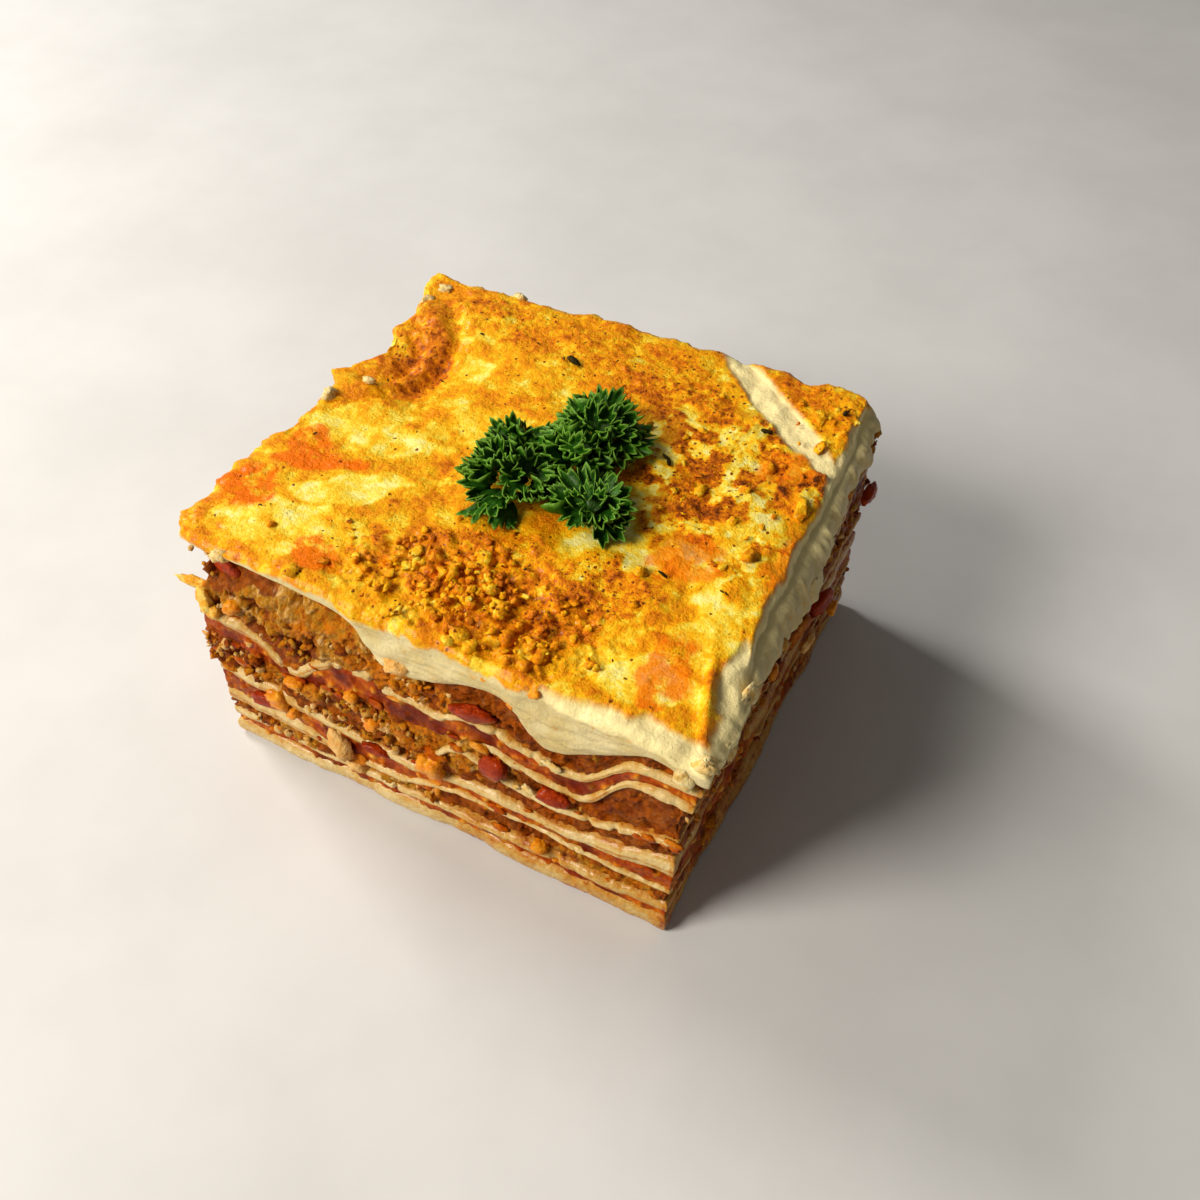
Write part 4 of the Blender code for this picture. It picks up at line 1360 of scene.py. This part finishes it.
def parsley():
    """Leaves on a spiral in each head, flat at its rim and upright in its middle,
    where a few point inward over the centre. No leaf dips into the crust."""
    rng = np.random.default_rng(23)
    leaves = []
    for x, y, reach, count in PARSLEY_HEADS:
        out = np.sqrt((np.arange(count) + 0.4) / count)
        turn = np.arange(count) * 2.4 + x
        across = out < 0.42
        inside = np.where(across, 2.6, max(reach - 5.8, 1.5) * out)
        heading = turn + np.pi * across
        leaves.append(np.stack([x + inside * np.cos(turn), y + inside * np.sin(turn), out, heading], -1))
    leaves = np.concatenate(leaves)
    count = len(leaves)
    points, margin, vein = fan_points(rng, count)
    out = leaves[:, 2]
    turned(points, rng.uniform(-0.6, 0.6, count), 1, 2)
    turned(points, 1.0 - 0.95 * out + rng.uniform(-0.25, 0.3, count), 0, 2)
    turned(points, leaves[:, 3] + rng.uniform(-0.6, 0.6, count), 0, 1)
    base = on_crust(leaves[:, 0], leaves[:, 1]) + 2.0 + 2.2 * (1 - out ** 2) + rng.uniform(-0.4, 0.9, count)
    points += np.stack([leaves[:, 0], leaves[:, 1], base], -1)[:, None, None, :]
    points[..., 2] = np.maximum(points[..., 2], on_crust(points[..., 0], points[..., 1]) + 0.7)
    rows, columns = points.shape[1:3]
    faces = repeated(grid_faces(rows, columns), count, rows * columns)
    # painted shade: darker towards each leaf's base and towards the middle of each head, where leaves overlap
    inner_shade = np.linspace(0.9, 0.0, rows)[None, :, None] ** 1.5 * (1.0 - 0.4 * out)[:, None, None]
    inner_shade = np.broadcast_to(inner_shade, margin.shape)
    piece = make_piece("parsley_leaves", points, [faces], {"margin": margin, "vein": vein, "inner_shade": inner_shade})
    thickness = piece.modifiers.new("leaf thickness", "SOLIDIFY")
    thickness.thickness = 0.2 * MM
    thickness.offset = 0.0
    return piece


publish(parsley(), LEAF, "parsley_sprig")

# %% Crumbs, curds and herbs on the crust
def baked_crumbs():
    """Broken bits of crust: most in the crumbly stretch, some in the brown one."""
    rng = np.random.default_rng(41)
    x = np.concatenate([rng.normal(3.0, 12.0, 230), rng.normal(29.0, 9.0, 50), rng.normal(40.0, 5.0, 20)])
    y = np.concatenate([rng.normal(-34.5, 5.5, 230), rng.normal(10.0, 10.0, 50), rng.normal(37.0, 3.5, 20)])
    keep = (y > -44.5) & (np.abs(x) < 44.5)
    x, y = x[keep], y[keep]
    z = on_crust(x, y) + rng.uniform(0.0, 0.45, len(x))
    sizes = np.exp(rng.normal(-0.5, 0.45, (len(x), 1))) * rng.uniform(0.6, 1.4, (len(x), 3))
    piece = lumps("baked_crumbs", np.stack([x, y, z], -1), sizes * [1.1, 1.1, 0.6], seed=42,
                  uneven=0.5, most=0.35)
    ones = np.ones(len(piece.data.vertices))
    tone = np.repeat(rng.uniform(0.32, 0.62, len(x)), len(ones) // len(x))
    for label, values in (("baked", ones), ("bake_and_shade", tone), ("brown", 0.5 * ones)):
        piece.data.attributes.new(label, "FLOAT", "POINT").data.foreach_set("value", values)
    return piece


def herb_flecks():
    """Thin dried leaves lying on the crust, and fine flecks between them."""
    rng = np.random.default_rng(43)
    x = np.concatenate([[-12, 30, 29, 41, 17, 18, -44], rng.uniform(-44, 44, 40)])
    y = np.concatenate([[28, 26, -16, 38, 10, 9, -13.5], rng.uniform(-42, 42, 40)])
    z = on_crust(x, y) + 0.75
    scale = np.concatenate([[1.5, 1.2, 0.9, 1.3, 1.0, 0.9, 0.5], rng.uniform(0.2, 0.45, 40)])[:, None]
    sizes = scale * np.array([1.1, 0.45, 0.3])
    return lumps("herb_flecks", np.stack([x, y, z], -1), sizes, seed=44, most=0.5)


publish(baked_crumbs(), CRUST)
publish(herb_flecks(), HERB)
bits("white_curds", (
    (-33.0, 42.6, 56.6, 1.6, 1.4, 1.2), (-49.3, -2.0, 56.6, 1.3, 2.0, 1.2),
    (-49.4, 32.0, 56.2, 1.3, 2.4, 1.3), (-44.5, 4.5, 57.3, 1.3, 1.1, 0.7),
    (-41.0, FRONT_Y + 0.4, 55.6, 1.8, 1.0, 1.3), (24.0, FRONT_Y, 37.5, 1.9, 0.5, 0.7),
    (19.0, FRONT_Y, 27.0, 1.5, 0.4, 0.6), (16.5, FRONT_Y, 26.0, 0.8, 0.4, 0.5),
    (-48.6, 38.0, 56.8, 1.8, 1.6, 1.1), (50.0, FRONT_Y + 1.5, 53.0, 2.0, 1.5, 1.8),
    (47.5, FRONT_Y + 0.2, 50.0, 1.8, 1.3, 2.0), (51.0, -38.0, 50.5, 1.3, 2.0, 2.8),
    (50.3, -30.0, 53.0, 1.2, 3.0, 2.4), (49.0, 2.0, 47.0, 1.0, 2.6, 3.2),
), CURD, seed=34, uneven=0.4)

# %% [markdown]
# ## Floor, light and camera
#
# The stage is a plain pale floor. One large soft light stands in front of the cut
# face and to its left, and a weaker one stands at the far left, so the right side
# falls into shade. A dim even light from all round fills the shadows.


# %% Floor
def make_floor():
    """A wide square just under the slice."""
    size = 1500.0
    corners = [[-size, -size, 0], [size, -size, 0], [size, size, 0], [-size, size, 0]]
    plane = make_piece("floor", corners, [np.array([[0, 1, 2, 3]])])
    material, tree, shader, place = new_material("pale_floor", roughness=0.6)
    base = add_mix(tree, mottle(tree, place, 60.0, 0.3, 0.7), colour(214, 212, 208), colour(206, 204, 200))
    tree.links.new(base, shader.inputs["Base Color"])
    plane.data.materials.append(material)


make_floor()


# %% Lights
def area_light(name, place, target, size, power, shade):
    """A square soft light at a place, turned towards a target."""
    data = bpy.data.lights.new(name, "AREA")
    data.energy = power
    data.size = size * MM
    data.color = shade
    light = bpy.data.objects.new(name, data)
    bpy.context.scene.collection.objects.link(light)
    aim = Vector(target) - Vector(place)
    light.location = Vector(place) * MM
    light.rotation_euler = aim.to_track_quat("-Z", "Y").to_euler()


MIDDLE = (0, 0, 30)
area_light("key", (-380, -520, 560), MIDDLE, size=320, power=7.5, shade=(1.0, 0.96, 0.9))
area_light("window", (-640, 120, 480), MIDDLE, size=220, power=4.0, shade=(1.0, 0.98, 0.96))
world = bpy.data.worlds.new("studio")
world.use_nodes = True
background = world.node_tree.nodes["Background"].inputs
background["Color"].default_value = (1.0, 0.97, 0.93, 1.0)
background["Strength"].default_value = 0.13
bpy.context.scene.world = world
bpy.context.scene.view_settings.view_transform = "Standard"

# %% Camera
CAMERA_PLACE = (85.7, -145.6, 207.6)
CAMERA_AZIMUTH = 27.88
CAMERA_PITCH = 47.87
camera_data = bpy.data.cameras.new("camera")
camera_data.sensor_width = 36.0
camera_data.lens = 37.2
camera_data.clip_start = 0.01
camera = bpy.data.objects.new("camera", camera_data)
bpy.context.scene.collection.objects.link(camera)
camera.location = [part * MM for part in CAMERA_PLACE]
camera.rotation_euler = (math.radians(90.0 - CAMERA_PITCH), 0.0, math.radians(CAMERA_AZIMUTH))
bpy.context.scene.camera = camera
